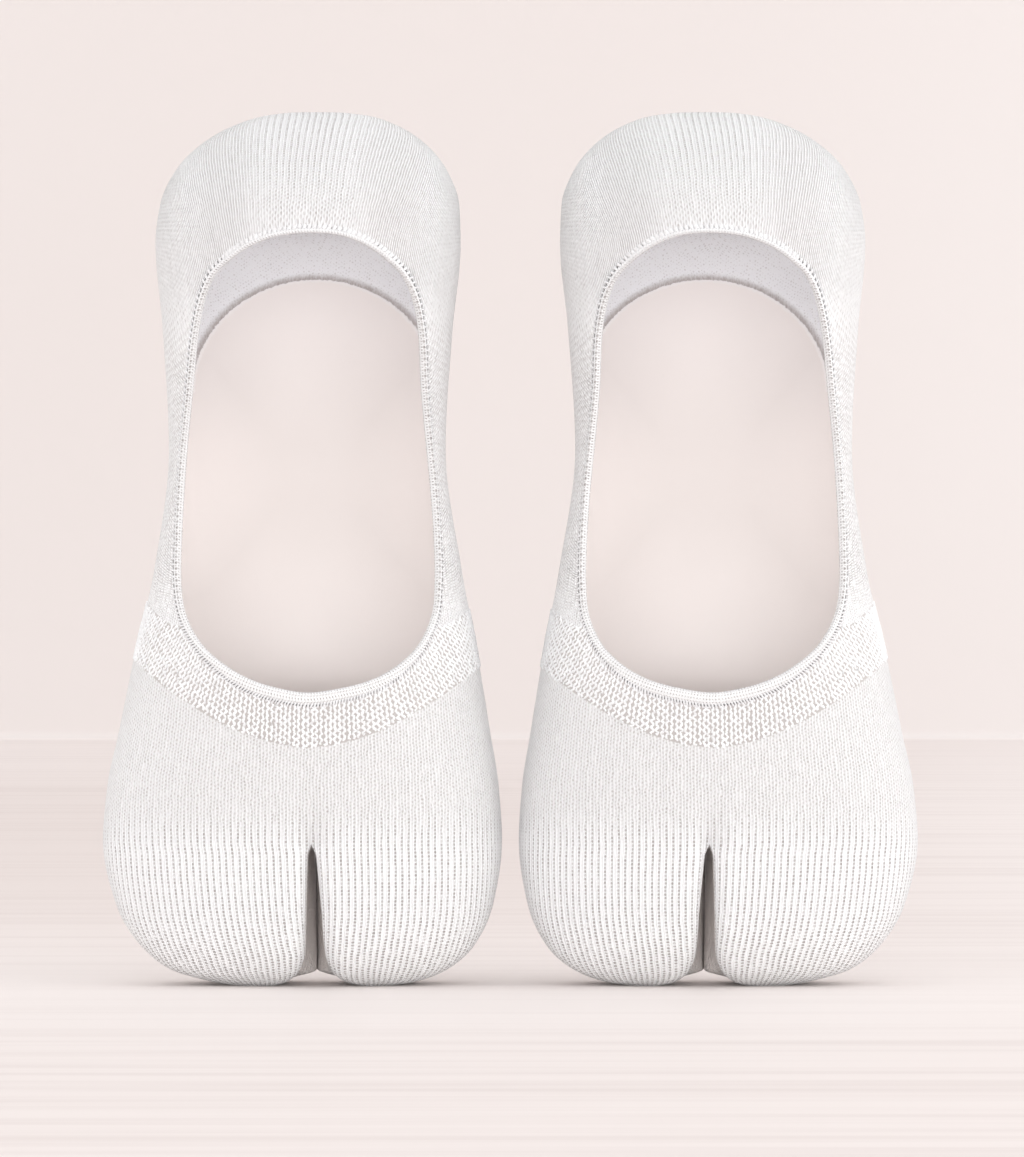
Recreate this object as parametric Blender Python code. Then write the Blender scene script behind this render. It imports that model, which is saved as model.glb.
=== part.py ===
"""Pair of split-toe foot-cover socks, each standing on its toe tips with its opening to the front.

Metres, +Z up, -Y to the front. The pair's mirror plane is x = 0 and the floor is z = 0.
Tables are in millimetres. "outer" and "inner" are distances from the mirror plane to the
little-toe side and the big-toe side, so one table serves both socks.
"""

import math
from collections import namedtuple

import bpy
import numpy as np

MM = 0.001

DEPTH_SHIFT = 10.5  # moves the tables' depths so that the origin is midway between front and back
WALL = 1.2  # knit wall
SEAM_GAP = 0.3  # between the knit's edge and the welt
WELT_PROUD = 0.3  # how far the welt stands out of the knit on each face
WELT_SIDE = 1.3  # welt height along the sides and the heel
WELT_FRONT = 3.0  # welt height at the middle of the front edge

COLUMNS = 48  # points round a whole ring, front centre first, then the outer side
HALF = COLUMNS // 2
WINDOW = 7  # columns from the front centre to each side of the opening
ROWS_FRONT = 8  # rows from the toe split to the front edge of the opening
ROWS_SIDE = 14  # rows along the opening's sides
ROWS_HEEL = 9  # rows from the heel edge to the last ring at the top
SPLIT_STEPS = 6  # steps along the wall between the toes, front to back
CROWDING = 0.45  # how much closer the columns stand beside the split
SMOOTH_PASSES = 3000  # relaxing passes of the ring grid

SPLIT_AT = 49.2  # the toe split, from the mirror plane
SPLIT_TOP = 36.0  # height of the split's ends
SPLIT_MIDDLE = 34.9  # height of the split's middle, between sole and instep
GROOVE_DEPTH = 3.2  # dimple over the split on the instep and on the sole
GROOVE_WIDTH = 3.0
GROOVE_RISE = 5.0
TOE_CORNER = 4.0  # radius of the edges that face the split

Section = namedtuple("Section", "height outer inner front level back round_front round_back")

# One row per section: the sides, the instep face, the widest level, the sole face, and how
# square the section is in front of that level and behind it (2 is an ellipse).
SECTIONS = [
    Section(0.00, 70.0, 28.5, -6.5, 0.0, 6.5, 3.6, 3.6),
    Section(0.60, 73.8, 24.4, -8.6, 0.0, 8.6, 3.4, 3.4),
    Section(1.60, 77.8, 20.8, -10.6, 0.0, 10.6, 3.3, 3.3),
    Section(3.50, 84.2, 16.3, -13.0, 0.0, 12.8, 3.1, 3.2),
    Section(8.75, 91.5, 9.8, -16.3, 0.0, 15.4, 2.9, 3.0),
    Section(19.75, 98.5, 4.4, -19.8, -0.5, 17.8, 2.7, 2.9),
    Section(36.00, 101.9, 2.1, -23.2, -1.0, 19.6, 2.5, 2.8),
    Section(50.25, 100.7, 3.0, -25.9, -1.5, 20.4, 2.4, 2.8),
    Section(62.25, 98.1, 4.9, -28.0, -2.0, 20.2, 2.3, 2.8),
    Section(83.75, 93.6, 8.4, -31.2, -3.0, 18.0, 2.2, 2.9),
    Section(104.0, 88.9, 12.2, -33.4, -3.5, 15.2, 2.2, 3.0),
    Section(134.0, 85.2, 16.2, -36.2, -4.0, 13.2, 2.2, 3.1),
    Section(164.0, 86.7, 14.4, -39.8, -5.0, 16.2, 2.2, 3.0),
    Section(185.0, 88.4, 12.4, -41.2, -6.5, 19.0, 2.2, 2.8),
    Section(194.5, 87.2, 12.7, -39.2, -7.5, 18.4, 2.2, 2.6),
    Section(203.20, 83.2, 15.8, -33.6, -8.5, 14.6, 2.1, 2.4),
    Section(209.80, 76.6, 21.2, -27.2, -9.0, 9.0, 2.1, 2.2),
    Section(214.10, 69.1, 27.7, -20.6, -9.5, 1.8, 2.0, 2.1),
    Section(216.60, 61.4, 34.8, -14.8, -9.8, -4.8, 2.0, 2.0),
    Section(217.40, 55.8, 40.8, -12.2, -9.9, -7.6, 2.0, 2.0),
]
CROTCH_ROW = 6  # the section of the table that the split ends in

SplitWall = namedtuple("SplitWall", "height outer_toes big_toe")

# The two walls that face each other across the split, from the mirror plane.
SPLIT_WALLS = [
    SplitWall(0.00, 58.2, 38.4),
    SplitWall(0.60, 56.4, 40.4),
    SplitWall(1.60, 54.8, 42.2),
    SplitWall(3.50, 52.8, 44.2),
    SplitWall(8.75, 50.9, 46.1),
    SplitWall(19.75, 50.6, 46.9),
    SplitWall(36.00, 50.0, 48.4),
]
TOE_HEIGHTS = [33.2, 29.0, 23.8, 18.0, 12.4, 7.9, 4.6, 2.2, 0.8, 0.0]

Opening = namedtuple("Opening", "height outer inner")

# The opening's outline from its front edge, low on the instep, up to the heel edge.
OPENING = [
    Opening(73.5, 49.7, 49.7),
    Opening(74.6, 57.0, 41.4),
    Opening(76.4, 63.0, 34.6),
    Opening(79.2, 68.6, 28.9),
    Opening(84.1, 75.0, 23.1),
    Opening(89.0, 78.7, 20.1),
    Opening(94.0, 80.9, 18.4),
    Opening(100.5, 82.0, 17.8),
    Opening(109.0, 82.1, 17.8),
    Opening(123.5, 81.6, 18.6),
    Opening(133.5, 80.8, 19.6),
    Opening(148.0, 79.0, 21.0),
    Opening(162.5, 77.1, 21.8),
    Opening(170.5, 75.1, 23.5),
    Opening(175.8, 72.4, 26.3),
    Opening(179.2, 68.6, 29.8),
    Opening(182.3, 63.9, 34.2),
    Opening(184.4, 58.6, 38.9),
    Opening(185.4, 53.6, 43.2),
    Opening(185.7, 48.4, 48.4),
]
LOW_CORNER = 82.0  # height where the front edge turns into the sides
HIGH_CORNER = 174.5  # height where the sides turn into the heel edge

KNIT_COLOUR = (0.86, 0.85, 0.86, 1.0)
WELT_COLOUR = (0.88, 0.87, 0.88, 1.0)


def monotone_spline(knots, values):
    """A function that passes through the values without overshooting them."""
    knots = np.asarray(knots, float)
    values = np.asarray(values, float)
    steps = np.diff(knots)
    rates = np.diff(values) / steps
    slopes = np.zeros(len(knots))
    for k in range(1, len(knots) - 1):
        if rates[k - 1] * rates[k] > 0:
            near = 2 * steps[k] + steps[k - 1]
            far = steps[k] + 2 * steps[k - 1]
            slopes[k] = (near + far) / (near / rates[k - 1] + far / rates[k])
    slopes[0] = rates[0]
    slopes[-1] = rates[-1]

    def at(x):
        x = np.clip(np.asarray(x, float), knots[0], knots[-1])
        k = np.clip(np.searchsorted(knots, x) - 1, 0, len(steps) - 1)
        f = (x - knots[k]) / steps[k]
        start = (1 + 2 * f) * (1 - f) ** 2 * values[k]
        end = f * f * (3 - 2 * f) * values[k + 1]
        rise = f * (1 - f) ** 2 * slopes[k] * steps[k]
        fall = f * f * (f - 1) * slopes[k + 1] * steps[k]
        return start + end + rise + fall

    return at


def closed_curve(points, count):
    """Points spread along a smooth closed curve through the given points."""
    total = len(points)
    fine = []
    for k in range(total):
        p0, p1, p2, p3 = (points[(k + d) % total] for d in (-1, 0, 1, 2))
        chord = [math.sqrt(np.linalg.norm(b - a)) for a, b in ((p0, p1), (p1, p2), (p2, p3))]
        out = (p1 - p0) / chord[0] - (p2 - p0) / (chord[0] + chord[1]) + (p2 - p1) / chord[1]
        into = (p2 - p1) / chord[1] - (p3 - p1) / (chord[1] + chord[2]) + (p3 - p2) / chord[2]
        for f in np.linspace(0, 1, count, endpoint=False):
            start = (1 + 2 * f) * (1 - f) ** 2 * p1
            end = f * f * (3 - 2 * f) * p2
            bend = f * (1 - f) ** 2 * out * chord[1] + f * f * (f - 1) * into * chord[1]
            fine.append(start + end + bend)
    return np.array(fine)


def spread(line, steps):
    """Points at equal distances along an open line."""
    line = np.asarray(line, float)
    lengths = np.linalg.norm(np.diff(line, axis=0), axis=1)
    along = np.concatenate([[0.0], np.cumsum(lengths)])
    wanted = np.linspace(0.0, along[-1], steps + 1)
    return np.stack([np.interp(wanted, along, line[:, c]) for c in range(line.shape[1])], axis=1)


def column_shares():
    """Where the columns of one side stand on the way from the split's front end to its back end."""
    step = np.arange(HALF + 1) / HALF
    return step - CROWDING * np.sin(4 * np.pi * step / 2) / (2 * np.pi)


class Foot:
    """The sock's outer face as a function of the station up the foot and the share of the way round.

    Shares start at the middle of the instep; a half is the middle of the sole, and the outer
    side comes first.
    """

    def __init__(self):
        rows = np.array(SECTIONS, float)
        half_width = (rows[:, 1] - rows[:, 2]) / 2
        half_depth = (rows[:, 5] - rows[:, 3]) / 2
        profile = np.stack([rows[:, 0], half_width, half_depth], axis=1)
        steps = np.linalg.norm(np.diff(profile, axis=0), axis=1)
        self.stations = np.concatenate([[0.0], np.cumsum(steps)])
        self.columns = [monotone_spline(self.stations, rows[:, c]) for c in range(rows.shape[1])]
        self.fine = np.linspace(0.0, self.stations[-1], 321)
        self.turns = np.linspace(-np.pi / 2, 1.5 * np.pi, 1201)
        faces = self.at_angle(self.fine[:, None], self.turns[None, :])
        lengths = np.linalg.norm(np.diff(faces, axis=1), axis=2)
        around = np.concatenate([np.zeros((len(self.fine), 1)), np.cumsum(lengths, axis=1)], axis=1)
        half = len(self.turns) // 2
        first = around[:, :half + 1] / around[:, half:half + 1] / 2
        second = 0.5 + (around[:, half:] - around[:, half:half + 1]) / (
            around[:, -1:] - around[:, half:half + 1]) / 2
        self.shares = np.concatenate([first, second[:, 1:]], axis=1)

    def station(self, height):
        """The station whose section has this height."""
        return np.interp(height, self.columns[0](self.fine), self.fine)

    def section(self, station):
        """The section's values at a station, in the order of the table's columns."""
        return [column(station) for column in self.columns]

    def at_angle(self, station, angle):
        """Distance from the mirror plane, depth and height; a quarter turn is the sole."""
        height, outer, inner, front, level, back, square_front, square_back = self.section(station)
        cosine, sine = np.cos(angle), np.sin(angle)
        square = np.where(sine < 0, square_front, square_back)
        reach = np.where(sine < 0, level - front, back - level)
        across = np.sign(cosine) * np.abs(cosine) ** (2 / square)
        deep = np.sign(sine) * np.abs(sine) ** (2 / square)
        away = (outer + inner) / 2 + (outer - inner) / 2 * across
        return np.stack(np.broadcast_arrays(away, level + reach * deep, height), axis=-1)

    def angle_of(self, station, share):
        """The angle at which this share of the section's outline has been passed."""
        station, share = np.broadcast_arrays(np.asarray(station, float), np.asarray(share, float))
        whole = np.floor(share)
        place = np.clip(station / self.fine[1], 0, len(self.fine) - 1.001)
        row = place.astype(int)
        found = np.empty(share.shape)
        for k in np.ndindex(share.shape):
            low = np.interp(share[k] - whole[k], self.shares[row[k]], self.turns)
            high = np.interp(share[k] - whole[k], self.shares[row[k] + 1], self.turns)
            found[k] = low + (high - low) * (place[k] - row[k])
        return found

    def share_of(self, station, angle):
        """The share of the outline passed at an angle; instep angles may be just below zero."""
        row = int(round(float(station) / self.fine[1]))
        row = min(max(row, 0), len(self.fine) - 1)
        whole = math.floor((angle + np.pi / 2) / (2 * np.pi))
        return whole + float(np.interp(angle - 2 * np.pi * whole, self.turns, self.shares[row]))

    def point(self, station, share):
        """A point of the outer face: distance from the mirror plane, depth and height."""
        return self.at_angle(station, self.angle_of(station, share))

    def front_angle(self, station, away):
        """The angle on the instep side at which the face is this far from the mirror plane."""
        _, outer, inner, _, _, _, square, _ = self.section(station)
        ratio = np.clip((away - (outer + inner) / 2) / ((outer - inner) / 2), -1, 1)
        cosine = np.sign(ratio) * np.abs(ratio) ** (square / 2)
        return -np.arccos(cosine)

    def front_share(self, station, away):
        """The share, just above or below zero, of an instep point this far from the plane."""
        share = self.share_of(station, float(self.front_angle(station, away)))
        return share - 1 if share > 0.5 else share

    def columns_at(self, station, away):
        """Shares of all columns of a ring whose first column is at the split."""
        front = self.front_share(station, away)
        back = self.share_of(station, -float(self.front_angle(station, away)))
        outer = front + (back - front) * column_shares()
        inner = front + 1 + (back - front - 1) * column_shares()
        return np.concatenate([outer, inner[::-1][1:-1]])

    def normal(self, station, share):
        """Outward direction of the face."""
        small = 0.2
        up = self.point(station + small, share) - self.point(station - small, share)
        round_ = self.point(station, share + small / 200) - self.point(station, share - small / 200)
        n = np.cross(round_, up)
        return n / np.linalg.norm(n, axis=-1, keepdims=True)


def with_groove(points):
    """The face pressed in over the toe split, front and back."""
    away, deep, height = points[..., 0], points[..., 1], points[..., 2]
    near = np.exp(-(((away - SPLIT_AT) / GROOVE_WIDTH) ** 2))
    rise = np.exp(-np.clip(height - SPLIT_TOP, 0, None) / GROOVE_RISE)
    pressed = points.copy()
    pressed[..., 1] = deep - np.sign(deep) * GROOVE_DEPTH * near * rise
    return pressed


def opening_edge(foot):
    """The opening's edge as (share, station) pairs: front edge, outer side, heel edge, inner side."""
    up = [np.array([row.outer, row.height]) for row in OPENING]
    down = [np.array([row.inner, row.height]) for row in OPENING[-2:0:-1]]
    curve = closed_curve(up + down, 24)
    heights = curve[:, 1]
    top = int(np.argmax(heights))
    outer, inner = curve[:top + 1], curve[top:]
    inner = np.vstack([inner, curve[:1]])[::-1]
    marks = []
    for side in (outer, inner):
        low = int(np.argmax(side[:, 1] > LOW_CORNER))
        high = int(np.argmax(side[:, 1] > HIGH_CORNER))
        marks.append((side[:low + 1], side[low:high + 1], side[high:]))
    front = np.vstack([marks[1][0][::-1], marks[0][0][1:]])
    heel = np.vstack([marks[0][2], marks[1][2][::-1][1:]])
    parts = [
        spread(front, 2 * WINDOW),
        spread(marks[0][1], ROWS_SIDE),
        spread(heel, 2 * WINDOW),
        spread(marks[1][1][::-1], ROWS_SIDE),
    ]
    ring = np.vstack([part[:-1] for part in parts])
    stations = foot.station(ring[:, 1])
    shares = [foot.front_share(s, away) for s, away in zip(stations, ring[:, 0])]
    return np.stack([shares, stations], axis=1)


def welt_frame(foot, edge):
    """Places, outward normals and directions away from the opening along its edge."""
    places = foot.point(edge[:, 1], edge[:, 0])
    normals = foot.normal(edge[:, 1], edge[:, 0])
    along = np.roll(places, -1, axis=0) - np.roll(places, 1, axis=0)
    along /= np.linalg.norm(along, axis=1, keepdims=True)
    away = np.cross(along, normals)
    middle = places.mean(axis=0)
    if np.sum((places - middle) * away) < 0:
        away = -away
    away /= np.linalg.norm(away, axis=1, keepdims=True)
    return places, normals, away


def welt_heights(places):
    """The welt is highest at the middle of the front edge and low along the sides and heel."""
    low = places[:, 2].min()
    share = np.exp(-(((places[:, 2] - low) / 9.0) ** 2))
    return WELT_SIDE + (WELT_FRONT - WELT_SIDE) * share


def knit_edge(foot, edge):
    """The edge moved along the face by the welt and the seam gap, as (share, station) pairs."""
    places, _, away = welt_frame(foot, edge)
    move = away * (welt_heights(places) + SEAM_GAP)[:, None]
    moved = edge.copy()
    for k, (share, station) in enumerate(edge):
        by_share = (foot.point(station, share + 0.002) - foot.point(station, share - 0.002)) / 0.004
        by_station = (foot.point(station + 0.5, share) - foot.point(station - 0.5, share))
        step, *_ = np.linalg.lstsq(np.stack([by_share, by_station], axis=1), move[k], rcond=None)
        moved[k] += step
    return moved


def ring_grid(foot, edge):
    """Shares and stations of the grid above the split, relaxed round the opening."""
    rows = ROWS_FRONT + ROWS_SIDE + ROWS_HEEL
    first, last = foot.stations[CROTCH_ROW], foot.stations[-1]
    share = np.tile(np.arange(COLUMNS) / COLUMNS, (rows + 1, 1))
    station = np.tile(np.linspace(first, last, rows + 1)[:, None], (1, COLUMNS))
    share[0] = foot.columns_at(first, SPLIT_AT)
    fixed = np.zeros(share.shape, bool)
    fixed[0] = fixed[-1] = True
    low, high = ROWS_FRONT, ROWS_FRONT + ROWS_SIDE
    ring = []
    ring += [(low, c) for c in range(-WINDOW, WINDOW)]
    ring += [(r, WINDOW) for r in range(low, high)]
    ring += [(high, c) for c in range(WINDOW, -WINDOW, -1)]
    ring += [(r, -WINDOW) for r in range(high, low, -1)]
    for (row, column), (passed, up) in zip(ring, edge):
        share[row, column % COLUMNS] = passed + (1 if column < 0 else 0)
        station[row, column % COLUMNS] = up
        fixed[row, column % COLUMNS] = True
    hole = np.zeros(share.shape, bool)
    for row in range(low + 1, high):
        for column in range(-WINDOW + 1, WINDOW):
            hole[row, column % COLUMNS] = True
    free = ~(fixed | hole)
    for _ in range(SMOOTH_PASSES):
        share = np.where(free, neighbour_mean(share, 1.0), share)
        station = np.where(free, neighbour_mean(station, 0.0), station)
    return share, station, hole, ring


def neighbour_mean(grid, lap):
    """The mean of each value's four neighbours on a ring whose values grow by lap each time round."""
    before = np.roll(grid, 1, axis=1)
    before[:, 0] -= lap
    after = np.roll(grid, -1, axis=1)
    after[:, -1] += lap
    mean = (before + after) / 4
    mean[1:-1] += (grid[:-2] + grid[2:]) / 4
    return mean


def toe_outline(foot, height, wall, outer_side):
    """A toe pocket's outline at a height: its wall at the split, rounded corners, the foot's arc."""
    station = foot.station(height)
    ends = []
    for quarter in (-np.pi / 2, np.pi / 2):
        turns = np.linspace(quarter - 0.9, quarter + 0.9, 721)
        faces = foot.at_angle(station, turns)
        ends.append(turns[int(np.argmin(np.abs(faces[:, 0] - wall)))])
    start, stop = ends
    if outer_side:
        turns = np.linspace(start, stop, 400)
    else:
        turns = np.linspace(start, stop - 2 * np.pi, 400)
    arc = foot.at_angle(station, turns)
    gap = np.abs(arc[:, 0] - wall)
    radius = np.minimum(TOE_CORNER, 0.45 * (arc[-1, 1] - arc[0, 1]))
    inside = np.clip(1 - gap / radius, 0, 1)
    sink = radius * (1 - np.sqrt(1 - inside ** 2))
    centre = (arc[0, 1] + arc[-1, 1]) / 2
    arc[:, 1] -= np.sign(arc[:, 1] - centre) * sink
    return arc


def toe_ring(foot, height, wall, outer_side):
    """The ring of a toe pocket: HALF steps round the foot's side, then the split's wall."""
    arc = toe_outline(foot, height, wall, outer_side)
    front, back = arc[0], arc[-1]
    corner = 0.3 * TOE_CORNER
    lengths = np.linalg.norm(np.diff(arc, axis=0), axis=1)
    along = np.concatenate([[0.0], np.cumsum(lengths)])
    wanted = corner + (along[-1] - 2 * corner) * column_shares()
    round_side = np.stack([np.interp(wanted, along, arc[:, c]) for c in range(3)], axis=1)
    straight = np.linspace(0, 1, SPLIT_STEPS + 1)[1:-1, None]
    wall_side = back + (front - back) * straight
    wall_side[:, 0] = wall
    return np.vstack([round_side, wall_side])


class Shell:
    """Points and faces of the outer face, turned into a closed wall."""

    def __init__(self):
        self.points = []
        self.faces = []

    def add(self, point):
        self.points.append(np.asarray(point, float))
        return len(self.points) - 1

    def ladder(self, ring):
        """Fills a flat ring with rungs from one side to the other."""
        low, high = 0, len(ring) - 1
        while high - low > 2:
            self.faces.append((ring[low], ring[low + 1], ring[high - 1], ring[high]))
            low += 1
            high -= 1
        if high - low == 2:
            self.faces.append((ring[low], ring[low + 1], ring[high]))

    def normals(self):
        """Vertex normals, each lengthened so that the wall keeps its thickness."""
        points = np.array(self.points)
        total = np.zeros(points.shape)
        parts = [[] for _ in points]
        for face in self.faces:
            corners = points[list(face)]
            across = np.cross(corners[2] - corners[0], corners[-1] - corners[1])
            if len(face) == 3:
                across = np.cross(corners[1] - corners[0], corners[2] - corners[0])
            unit = across / max(np.linalg.norm(across), 1e-12)
            for k, index in enumerate(face):
                before = corners[k - 1] - corners[k]
                after = corners[(k + 1) % len(face)] - corners[k]
                cosine = before @ after / (np.linalg.norm(before) * np.linalg.norm(after))
                weight = math.acos(max(-1.0, min(1.0, cosine)))
                total[index] += unit * weight
                parts[index].append((unit, weight))
        total /= np.linalg.norm(total, axis=1, keepdims=True)
        for index, around in enumerate(parts):
            lean = sum(w * (u @ total[index]) for u, w in around) / sum(w for _, w in around)
            total[index] /= max(lean, 0.75)
        return total


def knit_shell(foot, edge):
    """The outer face of one sock: the body's rings and the two toe pockets."""
    shell = Shell()
    share, station, hole, ring = ring_grid(foot, knit_edge(foot, edge))
    places = with_groove(foot.point(station, share))
    rows = len(places)
    index = -np.ones(hole.shape, int)
    for row in range(rows):
        for column in range(COLUMNS):
            if not hole[row, column]:
                index[row, column] = shell.add(places[row, column])
    low, high = ROWS_FRONT, ROWS_FRONT + ROWS_SIDE
    for row in range(rows - 1):
        for column in range(COLUMNS):
            beside = (column + 1) % COLUMNS
            in_window = column < WINDOW or column >= COLUMNS - WINDOW
            if low <= row < high and in_window:
                continue
            shell.faces.append((index[row, column], index[row, beside],
                                index[row + 1, beside], index[row + 1, column]))
    top = [int(i) for i in index[-1]]
    shell.ladder(top)
    front, back = places[0, 0], places[0, HALF]
    line = []
    for share in np.linspace(0, 1, SPLIT_STEPS + 1)[1:-1]:
        point = back + (front - back) * share
        point[2] = SPLIT_TOP + (SPLIT_MIDDLE - SPLIT_TOP) * math.sin(math.pi * share)
        line.append(shell.add(point))
    outer_wall = monotone_spline([w.height for w in SPLIT_WALLS], [w.outer_toes for w in SPLIT_WALLS])
    inner_wall = monotone_spline([w.height for w in SPLIT_WALLS], [w.big_toe for w in SPLIT_WALLS])
    sides = (
        (True, outer_wall, [int(index[0, c]) for c in range(HALF + 1)]),
        (False, inner_wall, [int(index[0, -c % COLUMNS]) for c in range(HALF + 1)]),
    )
    for outer_side, wall, start in sides:
        above = start + line
        for height in TOE_HEIGHTS:
            points = toe_ring(foot, height, float(wall(height)), outer_side)
            below = [shell.add(p) for p in points]
            for k in range(len(above)):
                m = (k + 1) % len(above)
                quad = (above[k], below[k], below[m], above[m])
                shell.faces.append(quad if outer_side else quad[::-1])
            above = below
        cap = above if outer_side else above[::-1]
        half = HALF // 2
        order = cap[half:] + cap[:half] if outer_side else cap[-half - 1:] + cap[:-half - 1]
        shell.ladder(order[::-1])
    window = [int(index[row, column % COLUMNS]) for row, column in ring]
    return shell, window


def closed_wall(shell, window):
    """Outer and inner faces joined round the opening."""
    outer = np.array(shell.points)
    inner = outer - shell.normals() * WALL
    count = len(outer)
    faces = in_triangles(outer, shell.faces)
    faces += [tuple(i + count for i in reversed(face)) for face in faces]
    points = np.vstack([outer, inner])
    rim = []
    for k, a in enumerate(window):
        b = window[(k + 1) % len(window)]
        rim.append((a, b, b + count, a + count))
    return points, faces + in_triangles(points, rim)


def in_triangles(points, faces):
    """Each four-cornered face cut along its shorter diagonal."""
    cut = []
    for face in faces:
        if len(face) == 3:
            cut.append(tuple(face))
            continue
        a, b, c, d = face
        if np.linalg.norm(points[a] - points[c]) <= np.linalg.norm(points[b] - points[d]):
            cut += [(a, b, c), (a, c, d)]
        else:
            cut += [(a, b, d), (b, c, d)]
    return cut


def welt_ring(foot, edge):
    """The thick edge strand of the opening, a closed ring of rounded sections."""
    places, normals, away = welt_frame(foot, edge)
    heights = welt_heights(places)
    thick = WALL / 2 + WELT_PROUD
    points = []
    faces = []
    outline = [(0.0, -0.45), (0.0, 0.45), (0.22, 1.0), (0.78, 1.0),
               (1.0, 0.45), (1.0, -0.45), (0.78, -1.0), (0.22, -1.0)]
    for place, normal, out, height in zip(places, normals, away, heights):
        core = place - normal * WALL / 2
        for share, level in outline:
            points.append(core + out * height * share + normal * thick * level)
    size = len(outline)
    total = len(places)
    for k in range(total):
        m = (k + 1) % total
        for a in range(size):
            b = (a + 1) % size
            faces.append((k * size + a, k * size + b, m * size + b, m * size + a))
    points = np.array(points)
    return points, in_triangles(points, faces)


def material(name, colour):
    """A matt knitted yarn."""
    made = bpy.data.materials.new(name)
    made.use_nodes = True
    shader = made.node_tree.nodes["Principled BSDF"]
    shader.inputs["Base Color"].default_value = colour
    shader.inputs["Roughness"].default_value = 0.9
    return made


def signed_volume(points, faces):
    """Volume of a closed mesh, negative when its faces point in."""
    total = 0.0
    for face in faces:
        for k in range(1, len(face) - 1):
            a, b, c = points[face[0]], points[face[k]], points[face[k + 1]]
            total += a @ np.cross(b, c) / 6
    return total


def place(name, points, faces, side, finish):
    """Makes one named object; side is -1 for the wearer's right sock and 1 for the left."""
    placed = (points + [0.0, DEPTH_SHIFT, 0.0]) * [side * MM, MM, MM]
    if signed_volume(placed, faces) < 0:
        faces = [tuple(reversed(face)) for face in faces]
    mesh = bpy.data.meshes.new(name)
    mesh.from_pydata(placed.tolist(), [], faces)
    mesh.validate()
    mesh.materials.append(finish)
    made = bpy.data.objects.new(name, mesh)
    bpy.context.scene.collection.objects.link(made)
    return made


def main():
    for old in list(bpy.data.objects):
        bpy.data.objects.remove(old, do_unlink=True)
    foot = Foot()
    edge = opening_edge(foot)
    shell, window = knit_shell(foot, edge)
    knit = closed_wall(shell, window)
    welt = welt_ring(foot, edge)
    for label, side in (("right", -1), ("left", 1)):
        place(f"{label}_sock_knit", *knit, side, material(f"{label}_knit_yarn", KNIT_COLOUR))
        place(f"{label}_sock_welt", *welt, side, material(f"{label}_welt_yarn", WELT_COLOUR))


main()
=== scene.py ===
"""Dressed model of a pair of split-toe foot-cover socks, filled out and standing on their toe tips.

Each sock is a closed knit shell with a lace band of real threads over the instep, an elastic welt
round the opening and a row of joining stitches between shell and welt. The tables are those of the
solids in model.glb, so every piece lies on its solid. Lengths in the tables and in the
classes' fields are millimetres, and the scene is in metres.
"""

import logging
import math
from dataclasses import dataclass, field
from enum import Enum
from typing import Any, NamedTuple, Optional, Union

import bpy
import numpy as np
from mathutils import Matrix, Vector


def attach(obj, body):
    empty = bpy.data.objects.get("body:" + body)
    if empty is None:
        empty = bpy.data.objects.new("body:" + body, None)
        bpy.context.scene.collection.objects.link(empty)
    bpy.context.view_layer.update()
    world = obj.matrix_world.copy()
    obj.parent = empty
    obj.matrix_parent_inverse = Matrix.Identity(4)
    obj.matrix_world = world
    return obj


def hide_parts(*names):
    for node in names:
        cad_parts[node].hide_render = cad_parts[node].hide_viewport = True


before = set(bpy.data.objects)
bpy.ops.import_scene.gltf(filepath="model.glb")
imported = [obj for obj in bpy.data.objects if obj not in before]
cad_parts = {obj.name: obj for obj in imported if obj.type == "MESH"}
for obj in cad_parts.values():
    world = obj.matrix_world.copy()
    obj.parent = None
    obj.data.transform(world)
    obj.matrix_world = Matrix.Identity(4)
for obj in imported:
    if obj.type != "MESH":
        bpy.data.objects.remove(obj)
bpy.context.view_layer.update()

LOG = logging.getLogger("socks")
BODY = "root"
THREAD_SEED, STITCH_SEED = 7, 11
KNIT_UV = "knit"
MM = 0.001
# The tables' depths are counted from the toe tips' middle, which stands this far behind the
# scene's origin.
DEPTH_SHIFT = 10.5

Array = np.ndarray
Pair = tuple[float, float]
Triple = tuple[float, float, float]
Term = Union["Wire", float]
Socket = bpy.types.NodeSocket
Material = bpy.types.Material
Piece = bpy.types.Object


class Side(Enum):
    """The wearer's right or left sock; the value is the sign of X."""

    RIGHT = -1
    LEFT = 1

    @property
    def word(self) -> str:
        """The side's name as it stands in the node names."""
        return self.name.lower()


class Section(NamedTuple):
    """One section of the filled-out foot, in millimetres from the pair's mirror plane."""

    height: float
    outer: float
    inner: float
    front: float
    level: float
    back: float
    square_front: float
    square_back: float


class EdgePoint(NamedTuple):
    """The two sides of the opening's edge at one height."""

    height: float
    outer: float
    inner: float


class SplitWall(NamedTuple):
    """The two walls that face each other across the toe split at one height."""

    height: float
    outer_toes: float
    big_toe: float


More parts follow.
